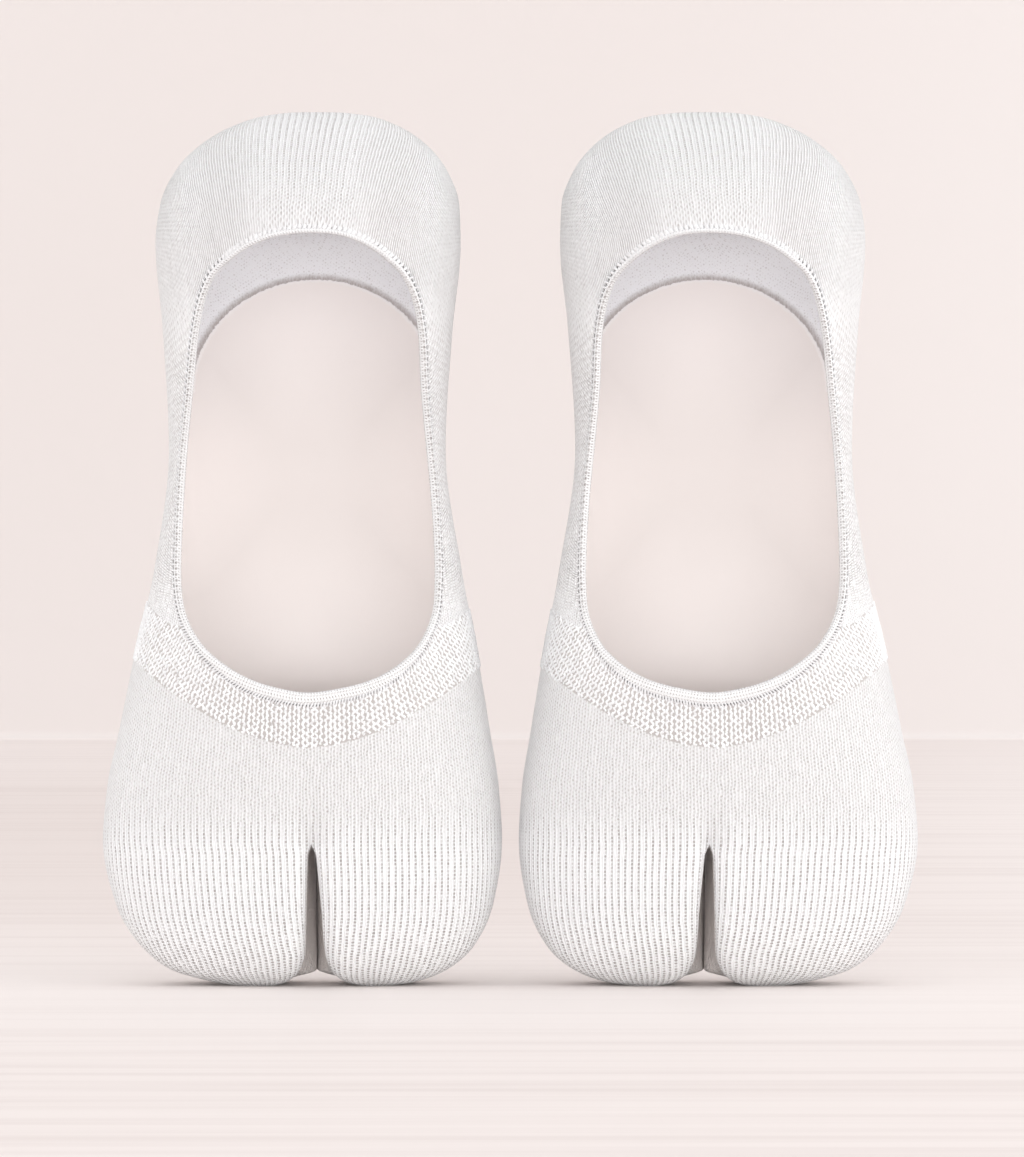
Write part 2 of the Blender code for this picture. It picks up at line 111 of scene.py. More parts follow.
SECTIONS = tuple(Section(*row) for row in (
    (0.00, 70.0, 28.5, -6.5, 0.0, 6.5, 3.6, 3.6),
    (0.60, 73.8, 24.4, -8.6, 0.0, 8.6, 3.4, 3.4),
    (1.60, 77.8, 20.8, -10.6, 0.0, 10.6, 3.3, 3.3),
    (3.50, 84.2, 16.3, -13.0, 0.0, 12.8, 3.1, 3.2),
    (8.75, 91.5, 9.8, -16.3, 0.0, 15.4, 2.9, 3.0),
    (19.75, 98.5, 4.4, -19.8, -0.5, 17.8, 2.7, 2.9),
    (36.00, 101.9, 2.1, -23.2, -1.0, 19.6, 2.5, 2.8),
    (50.25, 100.7, 3.0, -25.9, -1.5, 20.4, 2.4, 2.8),
    (62.25, 98.1, 4.9, -28.0, -2.0, 20.2, 2.3, 2.8),
    (83.75, 93.6, 8.4, -31.2, -3.0, 18.0, 2.2, 2.9),
    (104.0, 88.9, 12.2, -33.4, -3.5, 15.2, 2.2, 3.0),
    (134.0, 85.2, 16.2, -36.2, -4.0, 13.2, 2.2, 3.1),
    (164.0, 86.7, 14.4, -39.8, -5.0, 16.2, 2.2, 3.0),
    (185.0, 88.4, 12.4, -41.2, -6.5, 19.0, 2.2, 2.8),
    (194.5, 87.2, 12.7, -39.2, -7.5, 18.4, 2.2, 2.6),
    (203.20, 83.2, 15.8, -33.6, -8.5, 14.6, 2.1, 2.4),
    (209.80, 76.6, 21.2, -27.2, -9.0, 9.0, 2.1, 2.2),
    (214.10, 69.1, 27.7, -20.6, -9.5, 1.8, 2.0, 2.1),
    (216.60, 61.4, 34.8, -14.8, -9.8, -4.8, 2.0, 2.0),
    (217.40, 55.8, 40.8, -12.2, -9.9, -7.6, 2.0, 2.0),
))
CROTCH_ROW = 6

SPLIT_WALLS = tuple(SplitWall(*row) for row in (
    (0.00, 58.2, 38.4),
    (0.60, 56.4, 40.4),
    (1.60, 54.8, 42.2),
    (3.50, 52.8, 44.2),
    (8.75, 50.9, 46.1),
    (19.75, 50.6, 46.9),
    (36.00, 50.0, 48.4),
))

OPENING = tuple(EdgePoint(*row) for row in (
    (73.5, 49.7, 49.7),
    (74.6, 57.0, 41.4),
    (76.4, 63.0, 34.6),
    (79.2, 68.6, 28.9),
    (84.1, 75.0, 23.1),
    (89.0, 78.7, 20.1),
    (94.0, 80.9, 18.4),
    (100.5, 82.0, 17.8),
    (109.0, 82.1, 17.8),
    (123.5, 81.6, 18.6),
    (133.5, 80.8, 19.6),
    (148.0, 79.0, 21.0),
    (162.5, 77.1, 21.8),
    (170.5, 75.1, 23.5),
    (175.8, 72.4, 26.3),
    (179.2, 68.6, 29.8),
    (182.3, 63.9, 34.2),
    (184.4, 58.6, 38.9),
    (185.4, 53.6, 43.2),
    (185.7, 48.4, 48.4),
))


# ---- curves and tables


def smooth_step(low: float, high: float, value: Array) -> Array:
    """A smooth rise from 0 at low to 1 at high."""
    t = np.clip((np.asarray(value, float) - low) / (high - low), 0.0, 1.0)
    return t * t * (3 - 2 * t)


@dataclass(frozen=True)
class Rise:
    """A smooth rise from 0 at low to 1 at high."""

    low: float
    high: float

    def __call__(self, place: Array) -> Array:
        """The rise at each place."""
        return smooth_step(self.low, self.high, place)


def way_along(line: Array) -> Array:
    """The way from a line's first point to each of its points."""
    return np.append(0.0, np.cumsum(np.linalg.norm(np.diff(line, axis=0), axis=1)))


def at_ways(wanted: Array, way: Array, values: Array) -> Array:
    """Rows of values read at the wanted ways along a line."""
    return np.stack([np.interp(wanted, way, column) for column in values.T], axis=1)


def unit(vectors: Array) -> Array:
    """The vectors made one long."""
    return vectors / np.linalg.norm(vectors, axis=-1, keepdims=True)


@dataclass(frozen=True)
class MonotoneCurve:
    """A curve through a table's values that never overshoots them."""

    knots: Array
    values: Array

    def slopes(self) -> Array:
        """The curve's slope at each knot.

        Returns:
            The slopes, flat wherever the values turn.
        """
        steps = np.diff(self.knots)
        rates = np.diff(self.values) / steps
        slopes = np.zeros(len(self.knots))
        for k in range(1, len(self.knots) - 1):
            if rates[k - 1] * rates[k] > 0:
                near, far = 2 * steps[k] + steps[k - 1], steps[k] + 2 * steps[k - 1]
                slopes[k] = (near + far) / (near / rates[k - 1] + far / rates[k])
        slopes[0], slopes[-1] = rates[0], rates[-1]
        return slopes

    def __call__(self, place: Array) -> Array:
        """The curve's value at each place.

        Args:
            place: Where to read the curve; places beyond its ends count as its ends.

        Returns:
            The values there.
        """
        place = np.clip(np.asarray(place, float), self.knots[0], self.knots[-1])
        steps = np.diff(self.knots)
        slopes = self.slopes()
        k = np.clip(np.searchsorted(self.knots, place) - 1, 0, len(steps) - 1)
        f = (place - self.knots[k]) / steps[k]
        start = (1 + 2 * f) * (1 - f) ** 2 * self.values[k]
        end = f * f * (3 - 2 * f) * self.values[k + 1]
        rise = f * (1 - f) ** 2 * slopes[k] * steps[k]
        fall = f * f * (f - 1) * slopes[k + 1] * steps[k]
        return start + end + rise + fall


def closed_curve(points: list[Array], count: int) -> Array:
    """Points along a smooth closed curve.

    Args:
        points: The points the curve passes through.
        count: How many points each span gets.

    Returns:
        The curve's points in order.
    """
    total = len(points)
    fine = []
    for k in range(total):
        p0, p1, p2, p3 = (points[(k + d) % total] for d in (-1, 0, 1, 2))
        chord = [math.sqrt(np.linalg.norm(b - a)) for a, b in ((p0, p1), (p1, p2), (p2, p3))]
        out = (p1 - p0) / chord[0] - (p2 - p0) / (chord[0] + chord[1]) + (p2 - p1) / chord[1]
        into = (p2 - p1) / chord[1] - (p3 - p1) / (chord[1] + chord[2]) + (p3 - p2) / chord[2]
        for f in np.linspace(0, 1, count, endpoint=False):
            start = (1 + 2 * f) * (1 - f) ** 2 * p1
            end = f * f * (3 - 2 * f) * p2
            bend = f * (1 - f) ** 2 * out * chord[1] + f * f * (f - 1) * into * chord[1]
            fine.append(start + end + bend)
    return np.array(fine)


def spread(line: Array, steps: int) -> Array:
    """Points at equal distances along an open line."""
    way = way_along(line)
    return at_ways(np.linspace(0.0, way[-1], steps + 1), way, line)


def between(table: Array, row: Array, column: Array) -> Array:
    """Reads a table between its rows and columns.

    Args:
        table: The table.
        row: Row numbers, which may lie between two rows.
        column: Column numbers, which may lie between two columns.

    Returns:
        The values there.
    """
    row, column = np.broadcast_arrays(row, column)
    row = np.clip(row, 0, table.shape[0] - 1.0001)
    column = np.clip(column, 0, table.shape[1] - 1.0001)
    r, c = row.astype(int), column.astype(int)
    fr, fc = row - r, column - c
    low = table[r, c] * (1 - fc) + table[r, c + 1] * fc
    high = table[r + 1, c] * (1 - fc) + table[r + 1, c + 1] * fc
    return low * (1 - fr) + high * fr


# ---- the filled-out foot


@dataclass
class Foot:
    """The sock's outer face, by station up the foot and share of the way round each section.

    Shares start at the middle of the instep; a half is the middle of the sole, and the side of
    the little toe comes first. Points are (distance from the mirror plane, depth, height).
    """

    split_at: float = 49.2
    split_top: float = 36.0
    groove_depth: float = 3.2
    groove_width: float = 3.0
    groove_rise: float = 5.0
    crowding: float = 0.45
    rows: int = 321
    turns: int = 1200
    station_feeler: float = 0.2
    share_feeler: float = 0.001
    stations: Array = field(init=False)
    columns: dict[str, MonotoneCurve] = field(init=False)
    fine: Array = field(init=False)
    girth: Array = field(init=False)
    share_table: Array = field(init=False)
    angle_table: Array = field(init=False)

    def __post_init__(self) -> None:
        """Works out the stations and the tables between angle and share."""
        rows = np.array(SECTIONS, float)
        half_width = (rows[:, 1] - rows[:, 2]) / 2
        half_depth = (rows[:, 5] - rows[:, 3]) / 2
        self.stations = way_along(np.stack([rows[:, 0], half_width, half_depth], axis=1))
        self.columns = {name: MonotoneCurve(self.stations, column)
                        for name, column in zip(Section._fields, rows.T)}
        self.fine = np.linspace(0.0, self.stations[-1], self.rows)
        turns = np.linspace(-np.pi / 2, 1.5 * np.pi, self.turns + 1)
        faces = self.at_angle(self.fine[:, None], turns[None, :])
        lengths = np.linalg.norm(np.diff(faces, axis=1), axis=2)
        around = np.concatenate([np.zeros((self.rows, 1)), np.cumsum(lengths, axis=1)], axis=1)
        half = self.turns // 2
        middle, whole = around[:, half:half + 1], around[:, -1:]
        first = around[:, :half + 1] / middle / 2
        second = 0.5 + (around[:, half:] - middle) / (whole - middle) / 2
        self.girth = whole[:, 0]
        self.share_table = np.concatenate([first, second[:, 1:]], axis=1)
        even = np.linspace(0, 1, 2 * self.turns + 1)
        self.angle_table = np.array([np.interp(even, row, turns) for row in self.share_table])

    def station(self, height: Array) -> Array:
        """The station whose section has this height."""
        return np.interp(height, self.columns["height"](self.fine), self.fine)

    def row_at(self, station: Array) -> Array:
        """The row of the fine tables at a station."""
        return np.asarray(station, float) / self.fine[1]

    def at_angle(self, station: Array, angle: Array) -> Array:
        """Points of the face by the angle round the section.

        Args:
            station: The stations.
            angle: The angles; a quarter turn is the middle of the sole.

        Returns:
            The points.
        """
        values = (column(station) for column in self.columns.values())
        height, outer, inner, front, level, back, square_front, square_back = values
        cosine, sine = np.cos(angle), np.sin(angle)
        square = np.where(sine < 0, square_front, square_back)
        reach = np.where(sine < 0, level - front, back - level)
        across = np.sign(cosine) * np.abs(cosine) ** (2 / square)
        deep = np.sign(sine) * np.abs(sine) ** (2 / square)
        away = (outer + inner) / 2 + (outer - inner) / 2 * across
        return np.stack(np.broadcast_arrays(away, level + reach * deep, height), axis=-1)

    def point(self, station: Array, share: Array) -> Array:
        """Points of the face by station and share.

        Args:
            station: The stations.
            share: The shares of the way round; whole laps don't matter.

        Returns:
            The points.
        """
        share = np.asarray(share, float)
        turned = share - np.floor(share)
        angle = between(self.angle_table, self.row_at(station), turned * 2 * self.turns)
        return self.at_angle(station, angle)

    def back_angle(self, station: Array, away: Array, square_name: str = "square_back") -> Array:
        """The angle on the sole's side at this distance from the mirror plane.

        Args:
            station: The stations.
            away: The distances.
            square_name: The column that says how square the section is on this side.

        Returns:
            The angles.
        """
        outer, inner, square = (self.columns[name](station)
                                for name in ("outer", "inner", square_name))
        ratio = np.clip((away - (outer + inner) / 2) / ((outer - inner) / 2), -1, 1)
        return np.arccos(np.sign(ratio) * np.abs(ratio) ** (square / 2))

    def front_angle(self, station: Array, away: Array) -> Array:
        """The angle on the instep side at this distance from the mirror plane."""
        return -self.back_angle(station, away, "square_front")

    def share_of(self, station: Array, angle: Array) -> Array:
        """The share passed at an angle.

        Args:
            station: The stations.
            angle: The angles.

        Returns:
            The shares, just below zero for instep angles before the first share.
        """
        angle = np.asarray(angle, float)
        whole = np.floor((angle + np.pi / 2) / (2 * np.pi))
        column = (angle + np.pi / 2 - whole * 2 * np.pi) / (2 * np.pi) * self.turns
        return whole + between(self.share_table, self.row_at(station), column)

    def front_share(self, station: Array, away: Array) -> Array:
        """The share of an instep point this far from the mirror plane, near zero."""
        share = self.share_of(station, self.front_angle(station, away))
        return np.where(share > 0.5, share - 1, share)

    def crowd(self, count: int) -> Array:
        """Where a side's columns stand between the split's front end and its back end."""
        step = np.arange(count + 1) / count
        return step - self.crowding * np.sin(2 * np.pi * step) / (2 * np.pi)

    def columns_at(self, station: float, half: int) -> Array:
        """Shares of all columns of a ring whose first column is at the split.

        Args:
            station: The ring's station.
            half: How many columns each side has.

        Returns:
            The shares, growing from the front split round by the outer side.
        """
        turn = self.front_angle(station, self.split_at)
        front = float(self.front_share(station, self.split_at))
        back = float(self.share_of(station, -turn))
        outer = front + (back - front) * self.crowd(half)
        inner = front + 1 + (back - front - 1) * self.crowd(half)
        return np.concatenate([outer, inner[::-1][1:-1]])

    def normal(self, station: Array, share: Array) -> Array:
        """Outward directions of the face.

        Args:
            station: The stations.
            share: The shares of the way round.

        Returns:
            The directions, one long.
        """
        step, turn = self.station_feeler, self.share_feeler
        up = self.point(station + step, share) - self.point(station - step, share)
        across = self.point(station, share + turn) - self.point(station, share - turn)
        return unit(np.cross(across, up))

    def grooved(self, points: Array) -> Array:
        """The face pressed in over the toe split, front and back.

        Args:
            points: Points of the face.

        Returns:
            The pressed points.
        """
        away, deep, height = points[..., 0], points[..., 1], points[..., 2]
        near = np.exp(-(((away - self.split_at) / self.groove_width) ** 2))
        rise = np.exp(-np.clip(height - self.split_top, 0, None) / self.groove_rise)
        pressed = points.copy()
        pressed[..., 1] = deep - np.sign(deep) * self.groove_depth * near * rise
        return pressed


@dataclass
class OpeningEdge:
    """The edge of the opening and the welt's height along it."""

    foot: Foot
    low_corner: float = 82.0
    high_corner: float = 174.5
    side_height: float = 1.3
    front_height: float = 3.0
    front_falloff: float = 9.0
    seam_gap: float = 0.3
    span_points: int = 24
    path_window: int = 70
    path_side_rows: int = 140
    share_feeler: float = 0.002
    station_feeler: float = 0.5

    def ring(self, window: int, side_rows: int) -> Array:
        """The edge as (share, station) pairs: front edge, outer side, heel edge, inner side.

        Args:
            window: Columns from the front centre to each side.
            side_rows: Rows along each side.

        Returns:
            The pairs in order round the opening.
        """
        up = [np.array([row.outer, row.height]) for row in OPENING]
        down = [np.array([row.inner, row.height]) for row in OPENING[-2:0:-1]]
        curve = closed_curve(up + down, self.span_points)
        top = int(np.argmax(curve[:, 1]))
        outer = curve[:top + 1]
        inner = np.vstack([curve[top:], curve[:1]])[::-1]
        marks = []
        for side in (outer, inner):
            low = int(np.argmax(side[:, 1] > self.low_corner))
            high = int(np.argmax(side[:, 1] > self.high_corner))
            marks.append((side[:low + 1], side[low:high + 1], side[high:]))
        front = np.vstack([marks[1][0][::-1], marks[0][0][1:]])
        heel = np.vstack([marks[0][2], marks[1][2][::-1][1:]])
        parts = [
            spread(front, 2 * window),
            spread(marks[0][1], side_rows),
            spread(heel, 2 * window),
            spread(marks[1][1][::-1], side_rows),
        ]
        line = np.vstack([part[:-1] for part in parts])
        stations = self.foot.station(line[:, 1])
        return np.stack([self.foot.front_share(stations, line[:, 0]), stations], axis=1)

    def path(self, count: int) -> Array:
        """The edge as evenly spaced (share, station) pairs.

        Args:
            count: How many pairs.

        Returns:
            The pairs, from the middle of the front edge by the outer side.
        """
        coarse = self.ring(self.path_window, self.path_side_rows)
        coarse = np.roll(coarse, -self.path_window, axis=0)
        pairs = np.vstack([coarse, coarse[:1]])
        way = way_along(self.foot.point(pairs[:, 1], pairs[:, 0]))
        return at_ways(np.linspace(0, way[-1], count, endpoint=False), way, pairs)

    @staticmethod
    def along(places: Array) -> Array:
        """The directions in which a closed line of places runs."""
        return unit(np.roll(places, -1, axis=0) - np.roll(places, 1, axis=0))

    def directions(self, edge: Array) -> tuple[Array, Array, Array]:
        """Places and directions along the edge.

        Args:
            edge: (share, station) pairs.

        Returns:
            The places, the outward normals and the directions away from the opening.
        """
        places = self.foot.point(edge[:, 1], edge[:, 0])
        normals = self.foot.normal(edge[:, 1], edge[:, 0])
        away = np.cross(self.along(places), normals)
        if np.sum((places - places.mean(axis=0)) * away) < 0:
            away = -away
        return places, normals, unit(away)

    def heights(self, places: Array) -> Array:
        """The welt's height at each place: highest at the middle of the front edge."""
        share = np.exp(-(((places[:, 2] - places[:, 2].min()) / self.front_falloff) ** 2))
        return self.side_height + (self.front_height - self.side_height) * share

    def moved(self, edge: Array, distance: Array) -> Array:
        """The edge moved along the face, away from the opening.

        Args:
            edge: (share, station) pairs.
            distance: How far each pair moves, in millimetres.

        Returns:
            The moved pairs.
        """
        _, _, away = self.directions(edge)
        move = away * np.asarray(distance)[:, None]
        by_share = self.rate(edge, (self.share_feeler, 0.0))
        by_station = self.rate(edge, (0.0, self.station_feeler))
        ss, st, tt, ms, mt = (np.sum(a * b, axis=1) for a, b in (
            (by_share, by_share), (by_share, by_station), (by_station, by_station),
            (move, by_share), (move, by_station)))
        det = ss * tt - st * st
        step = np.stack([(ms * tt - mt * st) / det, (mt * ss - ms * st) / det], axis=1)
        return edge + step

    def rate(self, edge: Array, feeler: Pair) -> Array:
        """How a point of the face moves with its share or its station.

        Args:
            edge: (share, station) pairs.
            feeler: How far to feel each way, as a share and a station, one of them zero.

        Returns:
            The moves per unit.
        """
        ahead, behind = edge + feeler, edge - feeler
        moved = self.foot.point(ahead[:, 1], ahead[:, 0]) - self.foot.point(behind[:, 1],
                                                                            behind[:, 0])
        return moved / (2 * sum(feeler))

    def knit_edge(self, edge: Array) -> Array:
        """Where the knit ends: the edge moved by the welt's height and the seam gap."""
        places, _, _ = self.directions(edge)
        return self.moved(edge, self.heights(places) + self.seam_gap)


@dataclass
class RingGrid:
    """Rows and columns of the knit above the toe split, relaxed round the opening."""

    foot: Foot
    edge: OpeningEdge
    fineness: int = 6
    rows_front: int = 8
    rows_side: int = 14
    rows_heel: int = 9
    half_columns: int = 24
    window: int = 7
    coarse_passes: int = 3000
    fine_passes: int = 700
    share: Array = field(init=False)
    station: Array = field(init=False)

    def __post_init__(self) -> None:
        """Relaxes a coarse grid first, then the fine one that starts from it."""
        coarse = self.relaxed(1, None, self.coarse_passes)
        self.share, self.station = self.relaxed(self.fineness, coarse, self.fine_passes)

    @property
    def half(self) -> int:
        """Columns of one side."""
        return self.half_columns * self.fineness

    def window_ring(self, fineness: int) -> list[tuple[int, int]]:
        """Rows and columns of the points on the opening's edge, in the edge's order.

        Args:
            fineness: How many cells each coarse cell is cut into, each way.

        Returns:
            (row, column) pairs; columns below zero lie on the inner side.
        """
        low, side = self.rows_front * fineness, self.rows_side * fineness
        high, window = low + side, self.window * fineness
        ring = [(low, c) for c in range(-window, window)]
        ring += [(r, window) for r in range(low, high)]
        ring += [(high, c) for c in range(window, -window, -1)]
        ring += [(r, -window) for r in range(high, low, -1)]
        return ring

    def relaxed(self, fineness: int, start: Optional[tuple[Array, Array]], passes: int
                ) -> tuple[Array, Array]:
        """Shares and stations of a grid.

        Args:
            fineness: How many cells each coarse cell is cut into, each way.
            start: Shares and stations of a coarse grid to start from.
            passes: How many relaxing passes.

        Returns:
            The shares and the stations, rows by columns.
        """
        rows = (self.rows_front + self.rows_side + self.rows_heel) * fineness
        half = self.half_columns * fineness
        first, last = self.foot.stations[CROTCH_ROW], self.foot.stations[-1]
        if start is None:
            share = np.tile(np.arange(2 * half) / (2 * half), (rows + 1, 1))
            station = np.tile(np.linspace(first, last, rows + 1)[:, None], (1, 2 * half))
        else:
            r = np.arange(rows + 1)[:, None] / fineness
            c = np.arange(2 * half)[None, :] / fineness
            share = between(np.hstack([start[0], start[0][:, :1] + 1]), r, c)
            station = between(np.hstack([start[1], start[1][:, :1]]), r, c)
        share[0] = self.foot.columns_at(first, half)
        station[0], station[-1] = first, last
        fixed = np.zeros(share.shape, bool)
        fixed[0] = fixed[-1] = True
        window, side_rows = self.window * fineness, self.rows_side * fineness
        pairs = self.edge.knit_edge(self.edge.ring(window, side_rows))
        for (row, column), (passed, up) in zip(self.window_ring(fineness), pairs):
            share[row, column] = passed + (1 if column < 0 else 0)
            station[row, column] = up
            fixed[row, column] = True
        hole = np.zeros(share.shape, bool)
        low = self.rows_front * fineness
        hole[low + 1:low + side_rows, :window] = True
        hole[low + 1:low + side_rows, 1 - window:] = True
        free = ~(fixed | hole)
        for _ in range(passes):
            share = np.where(free, self.neighbours(share, 1.0), share)
            station = np.where(free, self.neighbours(station, 0.0), station)
        return share, station

    @staticmethod
    def neighbours(grid: Array, lap: float) -> Array:
        """The mean of each value's neighbours on closed rings.

        Args:
            grid: The values, rows by columns.
            lap: How much the values grow each time round.

        Returns:
            The means.
        """
        before = np.roll(grid, 1, axis=1)
        before[:, 0] -= lap
        after = np.roll(grid, -1, axis=1)
        after[:, -1] += lap
        mean = (before + after) / 4
        mean[1:-1] += (grid[:-2] + grid[2:]) / 4
        return mean


@dataclass
class ToePocket:
    """One of the two pockets below the split, as rings from the split down to the floor."""

    foot: Foot
    outer_side: bool
    half: int
    split_steps: int
    corner: float = 4.0
    most_corner: float = 0.45
    corner_start: float = 0.3
    blend_to: float = 33.2
    sag: float = 1.1
    clearance: float = 0.34
    sway: float = 0.35
    sway_at: float = 0.08
    sway_length: float = 0.6
    meet_front: Rise = Rise(0.03, 0.25)
    meet_back: Rise = Rise(0.42, 0.75)
    meet_up: Rise = Rise(1.4, 3.6)
    arc_points: int = 1500

    def wall(self, height: float) -> float:
        """Distance of the pocket's wall at the split from the mirror plane."""
        heights, outer_toes, big_toe = np.array(SPLIT_WALLS, float).T
        return float(MonotoneCurve(heights, outer_toes if self.outer_side else big_toe)(height))

    def gap(self, height: float) -> float:
        """Width of the split at a height."""
        heights, outer_toes, big_toe = np.array(SPLIT_WALLS, float).T
        return float(MonotoneCurve(heights, outer_toes - big_toe)(height))

    def outline(self, height: float) -> Array:
        """The pocket's round side at a height, its corners rounded towards the split.

        Args:
            height: The height.

        Returns:
            Points from the front end to the back end.
        """
        station = float(self.foot.station(height))
        wall = self.wall(height)
        start = float(self.foot.front_angle(station, wall))
        stop = float(self.foot.back_angle(station, wall)) - (0 if self.outer_side else 2 * np.pi)
        arc = self.foot.at_angle(station, np.linspace(start, stop, self.arc_points))
        radius = min(self.corner, self.most_corner * (arc[-1, 1] - arc[0, 1]))
        inside = np.clip(1 - np.abs(arc[:, 0] - wall) / radius, 0, 1)
        sink = radius * (1 - np.sqrt(1 - inside ** 2))
        arc[:, 1] -= np.sign(arc[:, 1] - (arc[0, 1] + arc[-1, 1]) / 2) * sink
        return arc

    def ring(self, height: float) -> Array:
        """The pocket's ring at a height: its round side, then its wall at the split.

        Args:
            height: The height.

        Returns:
            The ring's points.
        """
        arc = self.outline(height)
        front, back = arc[0], arc[-1]
        rounding = self.corner_start * self.corner
        way = way_along(arc)
        wanted = rounding + (way[-1] - 2 * rounding) * self.foot.crowd(self.half)
        straight = np.linspace(0, 1, self.split_steps + 1)[1:-1, None]
        flat = back + (front - back) * straight
        across = straight[:, 0]
        meet = self.meet_front(across) * (1 - self.meet_back(across)) * self.meet_up(height)
        towards = (self.gap(height) - self.clearance) / 2 * (-1 if self.outer_side else 1)
        sway = self.sway * np.sin(2 * np.pi * (across - self.sway_at) / self.sway_length)
        flat[:, 0] = self.wall(height) + (towards + sway) * meet
        return np.vstack([at_ways(wanted, way, arc), flat])

    def split_line(self, front: Array, back: Array) -> Array:
        """The line between the pockets where they meet the foot, its ends left out.

        Args:
            front: The split's end on the instep.
            back: Its end on the sole.

        Returns:
            Points from the sole to the instep.
        """
        share = np.linspace(0, 1, self.split_steps + 1)[1:-1, None]
        line = back + (front - back) * share
        line[:, 2] = self.foot.split_top - self.sag * np.sin(np.pi * share[:, 0])
        return line


# ---- knit coordinates and zones


class KnitPlace(NamedTuple):
    """Shares from the instep's middle, stations and heights of points of the knit."""

    share: Array
    station: Array
    height: Array


@dataclass
class KnitPlan:
    """Which wale, course and zone each point of the knit has.

    Rises whose name ends in off count down instead of up.
    """

    foot: Foot
    centre: float = 49.5
    wales: int = 144
    course: float = 0.95
    toe_course: float = 1.7
    tall_courses_off: Rise = Rise(8, 28)
    heel_pitch: float = 1.36
    heel_top_pitch: float = 1.62
    widening_from: float = 184.0
    widening_over: float = 32.0
    heel_wales: Rise = Rise(152, 190)
    heel_lean: float = 26.0
    heel_leaning: Rise = Rise(96, 190)
    side_lean: float = 30.0
    side_leaning: Rise = Rise(96, 222)
    heel_to_side: Rise = Rise(3, 45)
    strap_slope: float = 0.62
    strap_line: float = 50.0
    slope: Rise = Rise(88, 112)
    slope_off: Rise = Rise(150, 196)
    slope_round_off: Rise = Rise(58, 92)
    strap_rows: Rise = Rise(88, 104)
    strap_rows_off: Rise = Rise(150, 174)
    sole_side: Rise = Rise(2, 11)
    heel_lines: Rise = Rise(158, 176)
    heel_lines_aside: Rise = Rise(7, 19)
    coarse_toe_off: Rise = Rise(35.5, 47.0)
    heel_top_ribs: Rise = Rise(188, 212)
    heel_top_ribs_off: Rise = Rise(9, 24)
    heel_side_ribs: Rise = Rise(148, 166)
    heel_side_ribs_off: Rise = Rise(196, 212)
    heel_side_ribs_aside: Rise = Rise(25, 35)
    split_near_off: Rise = Rise(3.0, 5.5)
    split_inside: Rise = Rise(3.0, 6.5)
    split_top_off: Rise = Rise(34, 37)
    band_front: float = 60.0
    band_rise: float = 0.0263
    band_power: float = 1.77
    band_side_top: float = 96.75
    band_edge_top: float = 90.0
    band_top_aside: Rise = Rise(33, 44)
    band_back: float = 9.0

    def signed(self, share: Array) -> Array:
        """The share from the instep's middle, from minus a half to a half."""
        return share - np.floor(share + 0.5)

    def girth(self, station: Array) -> Array:
        """The way round the sock at a station."""
        return np.interp(station, self.foot.fine, self.foot.girth)

    def aside(self, points: Array) -> Array:
        """How far points lie beside the sock's own middle."""
        return np.abs(points[..., 0] - self.centre)

    def heel_spacing(self, height: Array) -> Array:
        """Distance between wales over the heel, which fan out towards its top."""
        rise = np.clip(height - self.widening_from, 0, self.widening_over) / self.widening_over
        return self.heel_pitch * (self.heel_top_pitch / self.heel_pitch) ** rise

    def wale(self, at: KnitPlace) -> Array:
        """Wale numbers; whole numbers lie between two wales.

        Args:
            at: The places.

        Returns:
            The numbers.
        """
        tube = at.share * self.wales
        fan = at.share * self.girth(at.station) / self.heel_spacing(at.height)
        heel = self.heel_wales(at.height)
        return tube * (1 - heel) + fan * heel

    def lean(self, at: KnitPlace) -> Array:
        """How far the wales have leant outwards; over the heel's middle they stand up.

        Args:
            at: The places.

        Returns:
            The lean, in wales.
        """
        middle = self.heel_lean * self.heel_leaning(at.height)
        side = self.side_lean * self.side_leaning(at.height)
        away = np.abs(at.share) * self.girth(at.station)
        return middle + (side - middle) * self.heel_to_side(away)

    def courses(self, station: Array) -> Array:
        """The number of level courses below a station; they are taller at the toes' tips.

        Args:
            station: The stations.

        Returns:
            The numbers.
        """
        fine = np.linspace(0.0, self.foot.stations[-1], 2001)
        extra = (self.toe_course - self.course) * (1 - self.tall_courses_off(fine))
        tall = self.course + extra
        steps = np.diff(fine) * (1 / tall[1:] + 1 / tall[:-1]) / 2
        return np.interp(station, fine, np.append(0.0, np.cumsum(steps)))

    def row(self, at: KnitPlace) -> Array:
        """Course numbers; on the straps the courses slope to the opening.

        Args:
            at: The places.

        Returns:
            The numbers.
        """
        away = np.abs(at.share) * self.girth(at.station)
        strap = self.slope(at.height) * (1 - self.slope_off(at.height))
        slope = self.strap_slope * strap * (1 - self.slope_round_off(away))
        return self.courses(at.station) + slope * (self.strap_line - away) / self.course

    def facing(self, points: Array) -> Array:
        """1 on the side of the opening, 0 on the side of the sole."""
        return 1 - self.sole_side(points[..., 1])

    def toe_rib(self, points: Array) -> Array:
        """How coarse the toe's ribs are: 1 on the toes, 0 above."""
        return 1 - self.coarse_toe_off(points[..., 2])

    def heel_rib(self, points: Array) -> Array:
        """How coarse the heel's ribs are.

        Args:
            points: Points of the knit.

        Returns:
            Most at the heel top's middle and at the heel's sides.
        """
        aside, height = self.aside(points), points[..., 2]
        top = self.heel_top_ribs(height) * (1 - 0.6 * self.heel_top_ribs_off(aside))
        edge = self.heel_side_ribs(height) * (1 - self.heel_side_ribs_off(height))
        return np.maximum(top, 0.9 * edge * self.heel_side_ribs_aside(aside))

    def strap(self, points: Array) -> Array:
        """How clearly the slanting courses of the straps show."""
        height = points[..., 2]
        return self.strap_rows(height) * (1 - self.strap_rows_off(height)) * self.facing(points)

